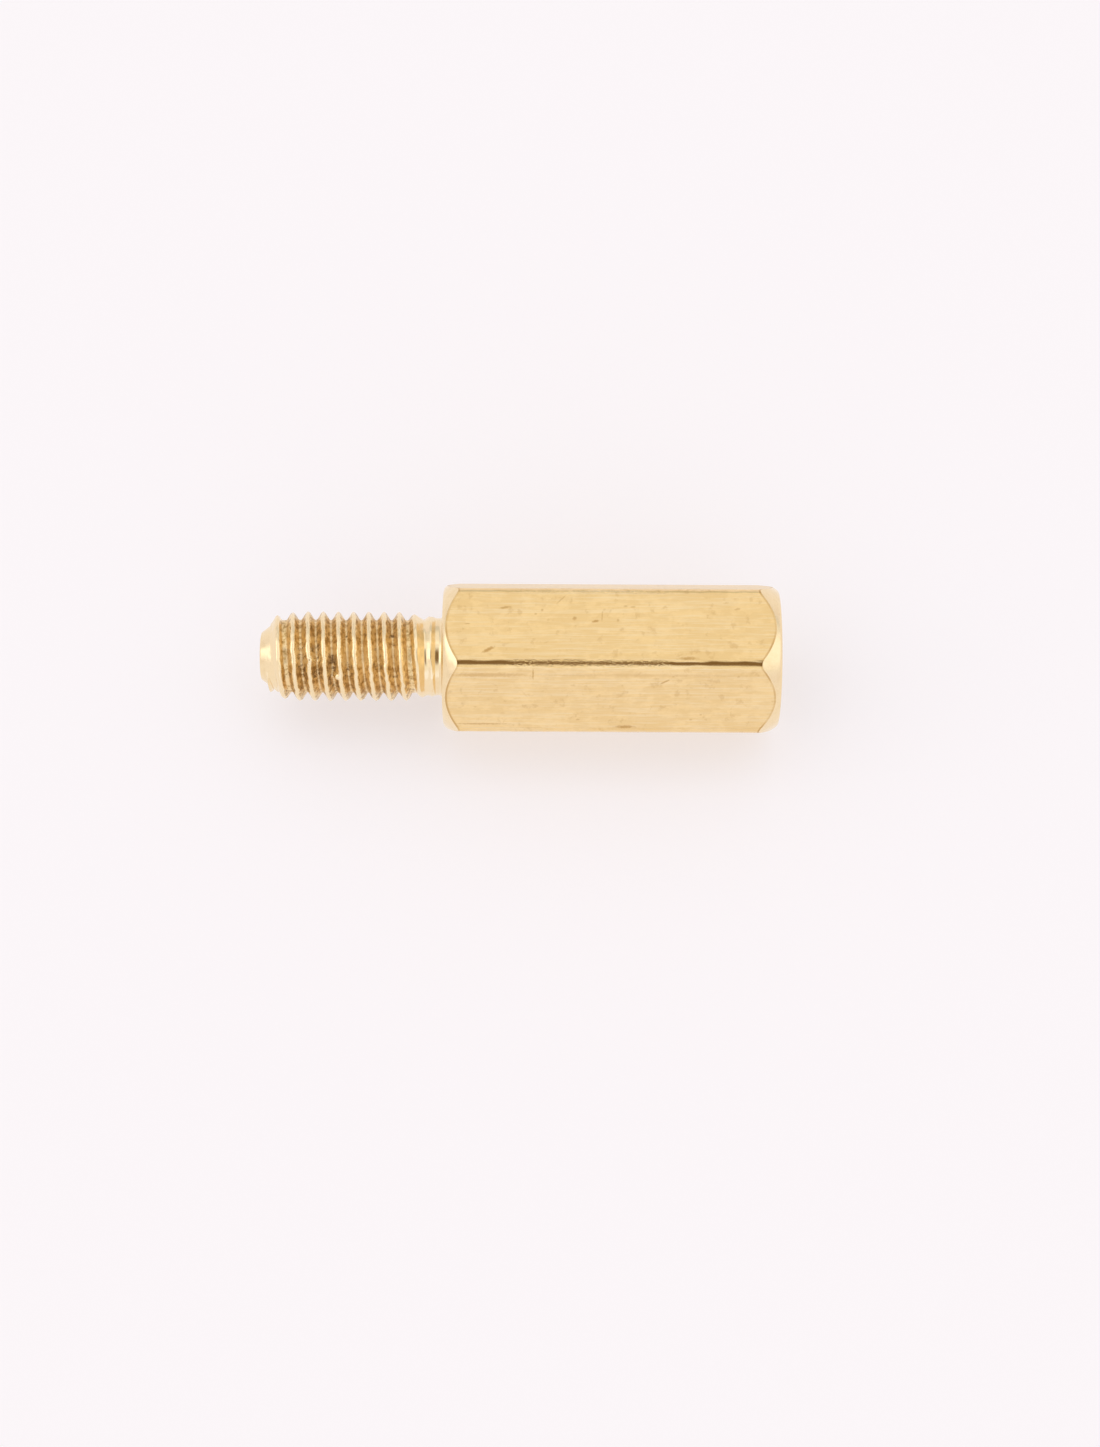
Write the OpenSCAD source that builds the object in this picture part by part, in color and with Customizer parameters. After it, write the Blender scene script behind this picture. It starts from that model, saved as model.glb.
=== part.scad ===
// Hexagon standoff with a threaded stud at one end and a tapped hole in the other.
// It is one turned piece: a drawn brass bar, brought to shape on a lathe and drilled.
// X is its axis, with the stud towards -X and the tapped hole's mouth towards +X, and it lies on
// one of its flats. The origin is the centre of the shoulder, where the stud meets the hexagon.

/* [Hexagon body] */
// Width across the flats of the bar
across_flats = 4.7; // [4.5:0.05:5.6]
// Length of the hexagon, from the shoulder to the tapped end
body_length = 11; // [5:0.5:30]
// Radius of the bar's six long edges, as drawn
edge_radius = 0.38; // [0.1:0.02:0.6]

/* [End chamfers] */
// How far inside the flats the chamfer leaves the rim of the shoulder
shoulder_rim_inset = 0.085; // [0.02:0.005:0.2]
// Slope of the shoulder's chamfer, in degrees from the axis
shoulder_chamfer_slope = 37; // [25:1:60]
// Radius that rounds the rim of the shoulder
shoulder_rim_round = 0.24; // [0.04:0.02:0.3]
// How far inside the flats the chamfer leaves the rim of the tapped end
mouth_rim_inset = 0.115; // [0.02:0.005:0.2]
// Slope of the tapped end's chamfer, in degrees from the axis
mouth_chamfer_slope = 32; // [25:1:60]
// Radius that rounds the rim of the tapped end
mouth_rim_round = 0.1; // [0.04:0.02:0.3]

/* [Thread size] */
// Nominal diameter of the thread, the same on the stud and in the hole
thread_size = 3; // [2.5:0.1:3.6]
// Distance from one crest to the next
thread_pitch = 0.5; // [0.35:0.05:0.7]
// How much less than the nominal diameter the stud measures over its crests
crest_allowance = 0.06; // [0:0.02:0.16]

/* [Stud] */
// Length of the stud, from the shoulder to its tip
stud_length = 6; // [3:0.5:12]
// Width of the 45 degree chamfer at the tip
tip_chamfer = 0.68; // [0.2:0.02:0.9]
// Length of the plain neck between the thread and the shoulder
neck_length = 0.62; // [0.4:0.02:1.2]
// Depth of the neck below the crests of the thread
neck_depth = 0.18; // [0.1:0.02:0.3]
// Radius in the corner between the neck and the shoulder
neck_fillet = 0.2; // [0.05:0.01:0.3]

/* [Tapped hole] */
// Metal left between the drill's point and the plane of the shoulder
hole_floor = 1.8; // [1:0.1:3]
// Angle of the drill's point
drill_point_angle = 118; // [90:1:140]
// How much wider than the thread the countersink opens
countersink_margin = 0.2; // [0.1:0.02:0.4]
// Angle of the countersink
countersink_angle = 90; // [60:1:120]

/* [Hidden] */
$fn = 96;

brass = [0.91, 0.77, 0.47];

// The hexagon
corners = 6;
corner_turn = 360 / corners;
flat_r = across_flats / 2;
corner_r = flat_r / cos(corner_turn / 2);
shoulder_rim_r = flat_r - shoulder_rim_inset;
mouth_rim_r = flat_r - mouth_rim_inset;
rim_steps = 4;

// The stud, by its radii over the thread's crests and over the neck
crest_r = (thread_size - crest_allowance) / 2;
neck_r = crest_r - neck_depth;
fillet_steps = 6;

// The hole is drilled at the thread's size less one pitch, which leaves the metal for its thread
drill_r = (thread_size - thread_pitch) / 2;
drill_point_height = drill_r / tan(drill_point_angle / 2);
countersink_r = (thread_size + countersink_margin) / 2;
countersink_depth = (countersink_r - drill_r) / tan(countersink_angle / 2);

// Bar past each end, which the lathe takes off
spare_bar = 1;
// Share by which an edge's arc is larger than the one that would only touch the flats, so that
// the arc and the flats cross in a clean line
arc_excess = 0.001;

// How far along the axis a cone of this slope runs between two radii
function cone_run(from_r, to_r, slope) = (to_r - from_r) / tan(slope);

// The arc that rounds a rim, from the end's face to its chamfer, as radii and distances from the
// face
function rim_arc(rim_r, slope, radius) =
    let (turn = 90 - slope, arc_start_r = rim_r - radius * tan(turn / 2))
    [for (k = [0 : rim_steps]) let (a = turn * k / rim_steps)
        [arc_start_r + radius * sin(a), radius * (1 - cos(a))]];

// Lays a turned shape, made along Z, on the part's axis
module along_axis() {
    rotate([90, 0, 90]) children();
}

// The drawn bar's cross-section: a hexagon with round corners, two of its flats level
module bar_section() {
    arc_centre_r = corner_r - edge_radius / cos(corner_turn / 2);
    arc_start_r = arc_centre_r + edge_radius * cos(corner_turn / 2);
    difference() {
        circle(corner_r, $fn = corners);
        for (k = [0 : corners - 1])
            rotate(k * corner_turn) difference() {
                translate([arc_start_r, -edge_radius]) square(2 * edge_radius);
                translate([arc_centre_r, 0]) circle(edge_radius * (1 + arc_excess));
            }
    }
}

// A length of bar, with spare metal past the tip and past the tapped end
module bar() {
    translate([0, 0, -stud_length - spare_bar])
        linear_extrude(stud_length + body_length + 2 * spare_bar) bar_section();
}

// Everything that lies inside the lathe's cuts: the stud with its chamfered tip, its neck and
// fillet, the flat shoulder, and the two cones that take the corners off the hexagon's ends, each
// with a rounded rim
module turned_form() {
    fillet = [for (k = [0 : fillet_steps]) let (a = 90 * k / fillet_steps)
        [neck_r + neck_fillet * (1 - cos(a)), -neck_fillet * (1 - sin(a))]];
    shoulder_rim = rim_arc(shoulder_rim_r, shoulder_chamfer_slope, shoulder_rim_round);
    mouth_rim = rim_arc(mouth_rim_r, mouth_chamfer_slope, mouth_rim_round);
    rotate_extrude() polygon(concat(
        [
            [0, -stud_length],
            [crest_r - tip_chamfer, -stud_length],
            [crest_r, -stud_length + tip_chamfer],
            [crest_r, -neck_length - neck_depth],
            [neck_r, -neck_length],
        ],
        fillet,
        shoulder_rim,
        [
            [corner_r, cone_run(shoulder_rim_r, corner_r, shoulder_chamfer_slope)],
            [corner_r, body_length - cone_run(mouth_rim_r, corner_r, mouth_chamfer_slope)],
        ],
        [for (k = [rim_steps : -1 : 0]) [mouth_rim[k][0], body_length - mouth_rim[k][1]]],
        [[0, body_length]]
    ));
}

// What the drill and the countersink take out of the tapped end
module tapped_hole() {
    countersink_reach = countersink_r + spare_bar * tan(countersink_angle / 2);
    rotate_extrude() polygon([
        [0, hole_floor],
        [drill_r, hole_floor + drill_point_height],
        [drill_r, body_length - countersink_depth],
        [countersink_reach, body_length + spare_bar],
        [0, body_length + spare_bar],
    ]);
}

// The one piece: the bar cut back to its turned form, then drilled
module standoff() {
    color(brass) along_axis() difference() {
        intersection() {
            bar();
            turned_form();
        }
        tapped_hole();
    }
}

standoff();
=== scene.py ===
"""A brass hexagon standoff lying on one of its flats: its threads, finishes, light and camera.

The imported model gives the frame: X is the axis, the stud points to -X, the tapped hole opens
towards +X, and the origin is the centre of the shoulder. Shapes are worked out in millimetres and
brought to metres when a mesh is made.
"""

import logging
import math
from collections.abc import Mapping, Sequence
from dataclasses import dataclass, field
from enum import IntEnum

import bpy
import numpy as np
from mathutils import Matrix, Vector


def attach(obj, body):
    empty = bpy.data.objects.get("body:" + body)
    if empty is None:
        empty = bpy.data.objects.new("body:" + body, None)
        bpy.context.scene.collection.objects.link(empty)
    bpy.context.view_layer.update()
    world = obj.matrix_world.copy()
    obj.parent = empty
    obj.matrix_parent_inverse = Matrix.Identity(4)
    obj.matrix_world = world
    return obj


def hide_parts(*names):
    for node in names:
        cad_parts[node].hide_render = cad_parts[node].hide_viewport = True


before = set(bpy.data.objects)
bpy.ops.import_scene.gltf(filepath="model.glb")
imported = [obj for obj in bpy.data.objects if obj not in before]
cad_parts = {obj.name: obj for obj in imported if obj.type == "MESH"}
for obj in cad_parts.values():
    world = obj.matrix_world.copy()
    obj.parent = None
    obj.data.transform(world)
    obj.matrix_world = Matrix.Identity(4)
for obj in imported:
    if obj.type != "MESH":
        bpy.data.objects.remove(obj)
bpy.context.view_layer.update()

LOG = logging.getLogger("standoff")
MM = 0.001
FULL_TURN = 2.0 * math.pi
PITCH = 0.5
# Points closer than this are one, on a grid moved off the round numbers that many of them have
WELD = 1e-6
WELD_SHIFT = 0.2379
# How near to halfway between two crests a place counts as halfway, as a share of the pitch
HALFWAY = 1e-6

ORIGIN = (0.0, 0.0, 0.0)

Colour = tuple[float, float, float, float]
Socket = bpy.types.NodeSocket
Sockets = bpy.types.bpy_prop_collection


class Finish(IntEnum):
    """How a zone of the standoff was made, which is also its material's place on the mesh."""

    DRAWN = 0
    TURNED = 1
    ROLLED = 2
    TAPPED = 3
    DRILLED = 4


# --------------------------------------------------------------------------------------- shapes


def ease(x: np.ndarray, low: float, high: float) -> np.ndarray:
    """Rises from 0 at low to 1 at high, by 3 t squared less 2 t cubed.

    Args:
        x: where it is wanted.
        low: where it leaves 0.
        high: where it reaches 1.

    Returns:
        The share from 0 to 1 at each x.
    """
    t = np.clip((x - low) / (high - low), 0.0, 1.0)
    return t * t * (3.0 - 2.0 * t)


def soft_least(a: np.ndarray, b: np.ndarray, width: float) -> np.ndarray:
    """The lesser of two heights with the corner between them rounded.

    It is half of their sum less the root of their squared difference plus the squared width.

    Args:
        a: the first height.
        b: the second height.
        width: how wide the rounding is.

    Returns:
        The lesser height at each place.
    """
    return 0.5 * (a + b - np.sqrt((a - b) ** 2 + width**2))


def soft_most(a: np.ndarray, b: np.ndarray, width: float) -> np.ndarray:
    """The greater of two heights with the corner between them rounded, as in soft_least."""
    return -soft_least(-a, -b, width)


def rounded_corner(
    before: np.ndarray,
    corner: np.ndarray,
    after: np.ndarray,
    reach: np.ndarray | float,
    steps: int = 4,
    margin: float = 0.6,
    reach_before: float | None = None,
) -> np.ndarray:
    """Rounds one corner of a profile, in every column at once.

    The curve is a quadratic Bezier: it leaves the first side at reach from the corner, meets the
    second at reach from it, and has the corner as its control point. A row lies on each side just
    outside the curve, so that the shading of the sides stays flat.

    Args:
        before: a point of the first side in each column, as columns of x and radius.
        corner: the corner in each column.
        after: a point of the second side in each column.
        reach: the distance from the corner at which the curve starts and ends, in each column.
        steps: the number of rows of faces along the curve.
        margin: the distance from the curve to the row beside it, as a share of reach.
        reach_before: the reach along the first side, where it is not the same.

    Returns:
        Rows of points in order along the profile, as rows by columns by (x, radius).
    """
    to_before = before - corner
    to_after = after - corner
    to_before /= np.linalg.norm(to_before, axis=-1, keepdims=True)
    to_after /= np.linalg.norm(to_after, axis=-1, keepdims=True)
    t = np.linspace(0.0, 1.0, steps + 1)[:, None, None]
    first_reach = reach if reach_before is None else reach_before
    start, end = corner + first_reach * to_before, corner + reach * to_after
    curve = (1 - t) ** 2 * start + 2 * t * (1 - t) * corner + t**2 * end
    before_start = start + margin * first_reach * to_before
    after_end = end + margin * reach * to_after
    return np.concatenate([before_start[None], curve, after_end[None]])


@dataclass
class Skin:
    """Gathers grids of points that make up one closed surface and welds them where they meet.

    A grid's rows follow the profile, from the tip's centre over the outside and into the hole,
    and its columns follow the angle from +Y towards +Z, so every face points outwards.
    """

    points: list[np.ndarray] = field(default_factory=list)
    recess: list[np.ndarray] = field(default_factory=list)
    faces: list[np.ndarray] = field(default_factory=list)
    finishes: list[np.ndarray] = field(default_factory=list)
    count: int = 0

    def add_points(self, points: np.ndarray, recess: np.ndarray | float = 0.0) -> np.ndarray:
        """Adds points.

        Args:
            points: a grid of points in millimetres.
            recess: how deep in a thread each one lies, from 0 at a crest to 1 at a root.

        Returns:
            The grid of their numbers.
        """
        shape = points.shape[:-1]
        numbers = self.count + np.arange(math.prod(shape)).reshape(shape)
        self.points.append(points.reshape(-1, 3))
        self.recess.append(np.broadcast_to(recess, shape).reshape(-1))
        self.count += numbers.size
        return numbers

    def add_faces(self, faces: np.ndarray, finish: np.ndarray) -> None:
        """Adds faces of four corners, where a face of three names its last corner twice."""
        self.faces.append(faces)
        self.finishes.append(finish)

    def grid(
        self,
        x: np.ndarray,
        radius: np.ndarray,
        angle: np.ndarray,
        finish: np.ndarray | int,
        recess: np.ndarray | float = 0.0,
    ) -> None:
        """Adds a grid: each point lies at x along the axis and at its radius and angle round it.

        Args:
            x: place along the axis, rows by columns or what spreads to that.
            radius: distance from the axis.
            angle: angle from +Y towards +Z.
            finish: the finish of all faces, or one for each row of faces.
            recess: how deep in a thread each point lies.
        """
        x, radius, angle = np.broadcast_arrays(x, radius, angle)
        points = np.stack([x, radius * np.cos(angle), radius * np.sin(angle)], axis=-1)
        n = self.add_points(points, recess)
        quads = np.stack([n[:-1, :-1], n[:-1, 1:], n[1:, 1:], n[1:, :-1]], axis=-1)
        rows = np.broadcast_to(np.asarray(finish), (quads.shape[0],))
        self.add_faces(quads.reshape(-1, 4), np.repeat(rows, quads.shape[1]))

    def fan(self, coarse: np.ndarray, fine: np.ndarray, outwards: bool, finish: int) -> None:
        """Joins a ring of few points to a ring of several times as many with triangles.

        Each side of the fine ring is joined to the point of the coarse ring nearest in order,
        and each side of the coarse ring to the point of the fine ring where that changes.

        Args:
            coarse: points of the coarse ring, the last one the same as the first.
            fine: points of the fine ring, likewise.
            outwards: whether the profile goes from the coarse ring to the fine one.
            finish: the finish of the faces.
        """
        c, f = self.add_points(coarse), self.add_points(fine)
        share = (len(f) - 1) // (len(c) - 1)
        j, i = np.arange(len(f) - 1), np.arange(len(c) - 1)
        apex = c[(2 * j + 1 + share) // (2 * share)]
        change = f[share * i + share // 2]
        sides = np.stack([f[j], apex, f[j + 1], f[j + 1]], axis=-1)
        gaps = np.stack([c[i], c[i + 1], change, change], axis=-1)
        faces = np.concatenate([sides, gaps])
        if not outwards:
            faces = faces[:, [1, 0, 2, 3]]
        self.add_faces(faces, np.full(len(faces), finish))

    def weld(self) -> tuple[np.ndarray, dict[str, np.ndarray], np.ndarray, np.ndarray]:
        """Makes points that coincide into one, and drops the faces that this closes up.

        Returns:
            The points, their values by name, the faces with four corners, where a face of three
            names its last corner twice, and the faces' finishes.
        """
        points = np.concatenate(self.points)
        key = np.round(points / WELD + WELD_SHIFT).astype(np.int64)
        _, first, place = np.unique(key, axis=0, return_index=True, return_inverse=True)
        faces = place.reshape(-1)[np.concatenate(self.faces)]
        finishes = np.concatenate(self.finishes)
        same = faces == np.roll(faces, -1, axis=1)
        # Turn each face so that the corner it has twice comes last
        turn = np.where(same.any(axis=1), (np.argmax(same, axis=1) + 2) % 4, 0)
        order = (np.arange(4)[None, :] + turn[:, None]) % 4
        faces = np.take_along_axis(faces, order, axis=1)
        keep = same.sum(axis=1) < 2
        values = {"recess": np.concatenate(self.recess)[first]}
        return points[first], values, faces[keep], finishes[keep]


@dataclass(frozen=True)
class Helix:
    """A right-hand thread wound on the axis, by its pitch and where one crest crosses +Y."""

    pitch: float
    crest_x: float

    def off_crest(self, x: np.ndarray, angle: np.ndarray) -> tuple[np.ndarray, np.ndarray]:
        """Distance along the axis from the nearest crest, and its side.

        The crest moves by one pitch in each turn, so the distance is what is left of x over the
        pitch less the share of a turn, after its whole part is taken off, times the pitch. A place
        halfway between two crests always counts as past the first, so a wound band's edges meet.

        Args:
            x: place along the axis.
            angle: angle from +Y towards +Z.

        Returns:
            The distance, from 0 at a crest to half a pitch at a root, and 1 past the crest or -1
            before it.
        """
        phase = (x - self.crest_x) / self.pitch - angle / FULL_TURN
        past = phase - np.floor(phase + 0.5 - HALFWAY)
        return np.abs(past) * self.pitch, np.sign(past)

    def strip(
        self, offsets: Sequence[float], columns: int, start: float, end: float
    ) -> tuple[np.ndarray, np.ndarray]:
        """A band of rows that winds along the thread and fills the axis between two planes.

        Row k lies at its own distance from the crest and moves along by one pitch a turn. Points
        before the first plane or past the second are brought back to it, so the band ends in two
        plain rings.

        Args:
            offsets: distances from the crest of half of the rows, from 0 to half a pitch.
            columns: points in a turn.
            start: place of the first plane.
            end: place of the second plane.

        Returns:
            x and angle of the points, rows by columns, with x rising from row to row.
        """
        half = np.asarray(offsets)
        rows = np.concatenate([-half[::-1], half[1:]])[:, None]
        # The band starts and ends outside the planes with all of its rows
        first = self.crest_x + self.pitch * math.floor((start - self.crest_x) / self.pitch - 1.5)
        turns = math.ceil((end - first) / self.pitch + 0.5)
        k = np.arange(turns * columns + 1)[None, :]
        x = first + rows + self.pitch * k / columns
        return np.clip(x, start, end), np.broadcast_to(FULL_TURN * k / columns, x.shape)


@dataclass(frozen=True)
class ThreadForm:
    """The profile of a thread by its slope, in degrees, at distances from the crest.

    The rolls leave the crest not quite full, like a low roof with a narrow ridge, and the flanks
    are straight between it and a round root.
    """

    reach: tuple[float, ...] = (0.0, 0.006, 0.062, 0.078, 0.170, 0.205, 0.236, 0.25)
    slope: tuple[float, ...] = (0.0, 27.0, 40.0, 59.0, 59.0, 48.0, 30.0, 0.0)
    samples: int = 501

    def drop(self, off: np.ndarray) -> np.ndarray:
        """How far the surface lies under the crest.

        It is the tangent of the slope, added up from the crest to the place in small steps.

        Args:
            off: distance along the axis from the crest, up to half a pitch.

        Returns:
            The drop at each distance.
        """
        steps = np.linspace(0.0, self.reach[-1], self.samples)
        rise = np.tan(np.radians(np.interp(steps, self.reach, self.slope)))
        fallen = np.concatenate([[0.0], np.cumsum(0.5 * (rise[1:] + rise[:-1]) * np.diff(steps))])
        return np.interp(off, steps, fallen)

    @property
    def depth(self) -> float:
        """Height from root to crest."""
        return float(self.drop(np.array(self.reach[-1])))


@dataclass(frozen=True)
class Stud:
    """The threaded stud, from the centre of its tip to the edge of the shoulder's flat ring.

    A field of several places, whose name ends in x, makes a curve along the axis with the field
    that follows it. Crests are the radius over the thread, floors that of its roots near the neck,
    shifts how far the last crests stray from the helix, and starts the radius of the crests where
    they grow out of the tip. Slopes are drops for each of length, but the fillet's and the tip's
    are in degrees. Offsets are the thread's rows, as distances from the crest.
    """

    length: float = 6.0
    neck_r: float = 1.275
    neck_x: float = -0.22
    neck_blend: float = 0.05
    crest_x: tuple[float, ...] = (-1.45, -1.20, -0.93, -0.81, -0.68, -0.49, -0.37, -0.23)
    crests: tuple[float, ...] = (1.47, 1.455, 1.388, 1.366, 1.347, 1.333, 1.323, 1.275)
    floor_x: tuple[float, ...] = (-0.95, -0.75, -0.55, -0.36, -0.22)
    floors: tuple[float, ...] = (1.19, 1.205, 1.215, 1.25, 1.275)
    run_out: tuple[float, float] = (-0.98, -0.76)
    slope_before: float = 0.56
    slope_after_x: tuple[float, float] = (-0.60, -0.38)
    slope_after: tuple[float, float] = (0.46, 0.03)
    shift_x: tuple[float, ...] = (-1.10, -0.85, -0.62, -0.40)
    shifts: tuple[float, ...] = (0.0, 0.04, 0.035, -0.026)
    fillet_x: tuple[float, ...] = (-0.130, -0.105, -0.040, -0.018, 0.0)
    fillet_slope: tuple[float, ...] = (0.0, 29.0, 40.0, 60.0, 86.0)
    fillet_rows: int = 25
    ring_margins: tuple[float, float] = (0.02, 0.10)
    face_rings: tuple[float, ...] = (0.0, 0.1, 0.2, 0.3, 0.42, 0.54, 0.64, 0.70)
    tip_r: float = 0.775
    tip_slope: float = 37.0
    tip_bevel: float = 0.04
    tip_rows: int = 4
    thread_start: float = -5.80
    start_reach: float = 0.05
    start_x: tuple[float, ...] = (-5.86, -5.80, -5.69, -5.47, -5.22, -4.95, -4.70)
    starts: tuple[float, ...] = (0.80, 1.00, 1.25, 1.341, 1.407, 1.445, 1.47)
    crest_lift: float = 0.30
    lift_reach: tuple[float, float] = (0.01, 0.12)
    recess_fade: tuple[float, float] = (-1.15, -0.85)
    rounding: float = 0.01
    columns: int = 144
    helix: Helix = Helix(PITCH, crest_x=-5.508)
    form: ThreadForm = ThreadForm()
    offsets: tuple[float, ...] = (
        0.0, 0.006, 0.02, 0.035, 0.05, 0.062, 0.078, 0.10, 0.14, 0.168, 0.187, 0.206, 0.232, 0.25,
    )

    def cone(self, x: np.ndarray) -> np.ndarray:
        """Radius of the tip's cone: the tip's radius plus the way from the tip times its slope."""
        return self.tip_r + (x + self.length) * math.tan(math.radians(self.tip_slope))

    def envelope(self, x: np.ndarray, angle: np.ndarray) -> np.ndarray:
        """Radius over the crests.

        At the tip it follows the place of the crest itself, so that the thread grows out of the
        cone as it winds. Towards the shoulder it falls to the neck.

        Args:
            x: place along the axis.
            angle: angle from +Y towards +Z.

        Returns:
            The radius of the nearest crest.
        """
        off, side = self.helix.off_crest(x, angle)
        grown = np.interp(x - side * off, self.start_x, self.starts)
        return np.minimum(grown, np.interp(x, self.crest_x, self.crests))

    def threaded(self, x: np.ndarray, angle: np.ndarray) -> np.ndarray:
        """Radius of the threaded length.

        It is the radius over the crests less the thread form's drop, with a steep front where the
        thread begins on the tip's cone. Towards the shoulder the rolls lift out: the last turn is
        a low ridge with straight sides. No place is lower than the cone, the roots or the neck.

        Args:
            x: place along the axis.
            angle: angle from +Y towards +Z.

        Returns:
            The radius at each place.
        """
        off, side = self.helix.off_crest(x - np.interp(x, self.shift_x, self.shifts), angle)
        over = self.envelope(x, angle)
        cone = self.cone(x)
        lift_from, lift_to = (self.thread_start + reach for reach in self.lift_reach)
        front = cone + self.crest_lift * ease(x, lift_from, lift_to)
        full = soft_least(over - self.form.drop(off), front, 2.0 * self.rounding)
        rest = self.helix.pitch - off
        slope_after = np.interp(x, self.slope_after_x, self.slope_after)
        fall = slope_after * np.where(side > 0, off, rest)
        rise = self.slope_before * np.where(side > 0, rest, off)
        ridge = soft_most(over - fall, over - rise, self.rounding)
        form = full + ease(x, *self.run_out) * (ridge - full)
        low = np.minimum(cone, np.interp(x, self.floor_x, self.floors))
        form = soft_most(form, low, self.rounding)
        start = ease(x, self.thread_start, self.thread_start + self.start_reach)
        plain = np.minimum(cone, self.neck_r)
        end = 1.0 - ease(x, self.neck_x - self.neck_blend, self.neck_x)
        return plain + start * end * (form - plain)

    def recess(self, x: np.ndarray, angle: np.ndarray, radius: np.ndarray) -> np.ndarray:
        """How deep each point lies in the thread.

        It is the way from the crests or the tip's cone down to the point, over the thread's depth,
        and it fades out where the rolls lift out.

        Args:
            x: place along the axis.
            angle: angle from +Y towards +Z.
            radius: radius of the surface there.

        Returns:
            The share, from 0 at a crest to 1 at a root.
        """
        over = np.minimum(self.envelope(x, angle), self.cone(x))
        share = 1.0 - ease(x, *self.recess_fade)
        return share * np.clip((over - radius) / self.form.depth, 0.0, 1.0)

    def fillet(self) -> np.ndarray:
        """The fillet from the neck to the shoulder.

        The radius is the neck's plus the tangent of the slope, added up in small steps.

        Returns:
            Rows of x and radius.
        """
        x = np.concatenate([[self.neck_x], np.linspace(self.fillet_x[0], 0.0, self.fillet_rows)])
        rise = np.tan(np.radians(np.interp(x, self.fillet_x, self.fillet_slope)))
        gained = np.cumsum(0.5 * (rise[1:] + rise[:-1]) * np.diff(x))
        return np.stack([x, self.neck_r + np.concatenate([[0.0], gained])], axis=-1)

    def build(self, skin: Skin) -> None:
        """Adds the tip's face and cone, the thread, the neck and its fillet.

        Args:
            skin: the surface that it adds to.
        """
        angle = np.linspace(0.0, FULL_TURN, self.columns + 1)[None, :]
        face_r = np.array(self.face_rings)
        middle = np.array([-self.length, 0.0])
        edge = np.array([-self.length, self.cone(-self.length)])
        on_cone = np.array([self.thread_start, self.cone(self.thread_start)])
        bevel = rounded_corner(middle[None], edge[None], on_cone[None], self.tip_bevel)[:, 0]
        cone_x = np.linspace(bevel[-1, 0], self.thread_start, self.tip_rows + 1)[1:]
        profile = np.concatenate(
            [
                np.stack([np.full(len(face_r), -self.length), face_r], axis=-1),
                bevel,
                np.stack([cone_x, self.cone(cone_x)], axis=-1),
            ]
        )
        skin.grid(profile[:, :1], profile[:, 1:], angle, Finish.TURNED)

        x, wound = self.helix.strip(self.offsets, self.columns, self.thread_start, self.neck_x)
        radius = self.threaded(x, wound)
        skin.grid(x, radius, wound, Finish.ROLLED, self.recess(x, wound, radius))

        fillet = self.fillet()
        shoulder = [[0.0, fillet[-1, 1] + self.ring_margins[0]], [0.0, self.shoulder_ring_r]]
        neck = np.concatenate([fillet, shoulder])
        skin.grid(neck[:, :1], neck[:, 1:], angle, Finish.TURNED)

    @property
    def shoulder_ring_r(self) -> float:
        """Radius at which the stud's columns end on the shoulder."""
        return float(self.fillet()[-1, 1]) + self.ring_margins[1]

    @property
    def shoulder_ring(self) -> np.ndarray:
        """The ring of points in which the stud's columns end on the shoulder.

        Returns:
            The points, the last one the same as the first.
        """
        angle = np.linspace(0.0, FULL_TURN, self.columns + 1)
        r = self.shoulder_ring_r
        return np.stack([0.0 * angle, r * np.cos(angle), r * np.sin(angle)], axis=-1)


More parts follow.
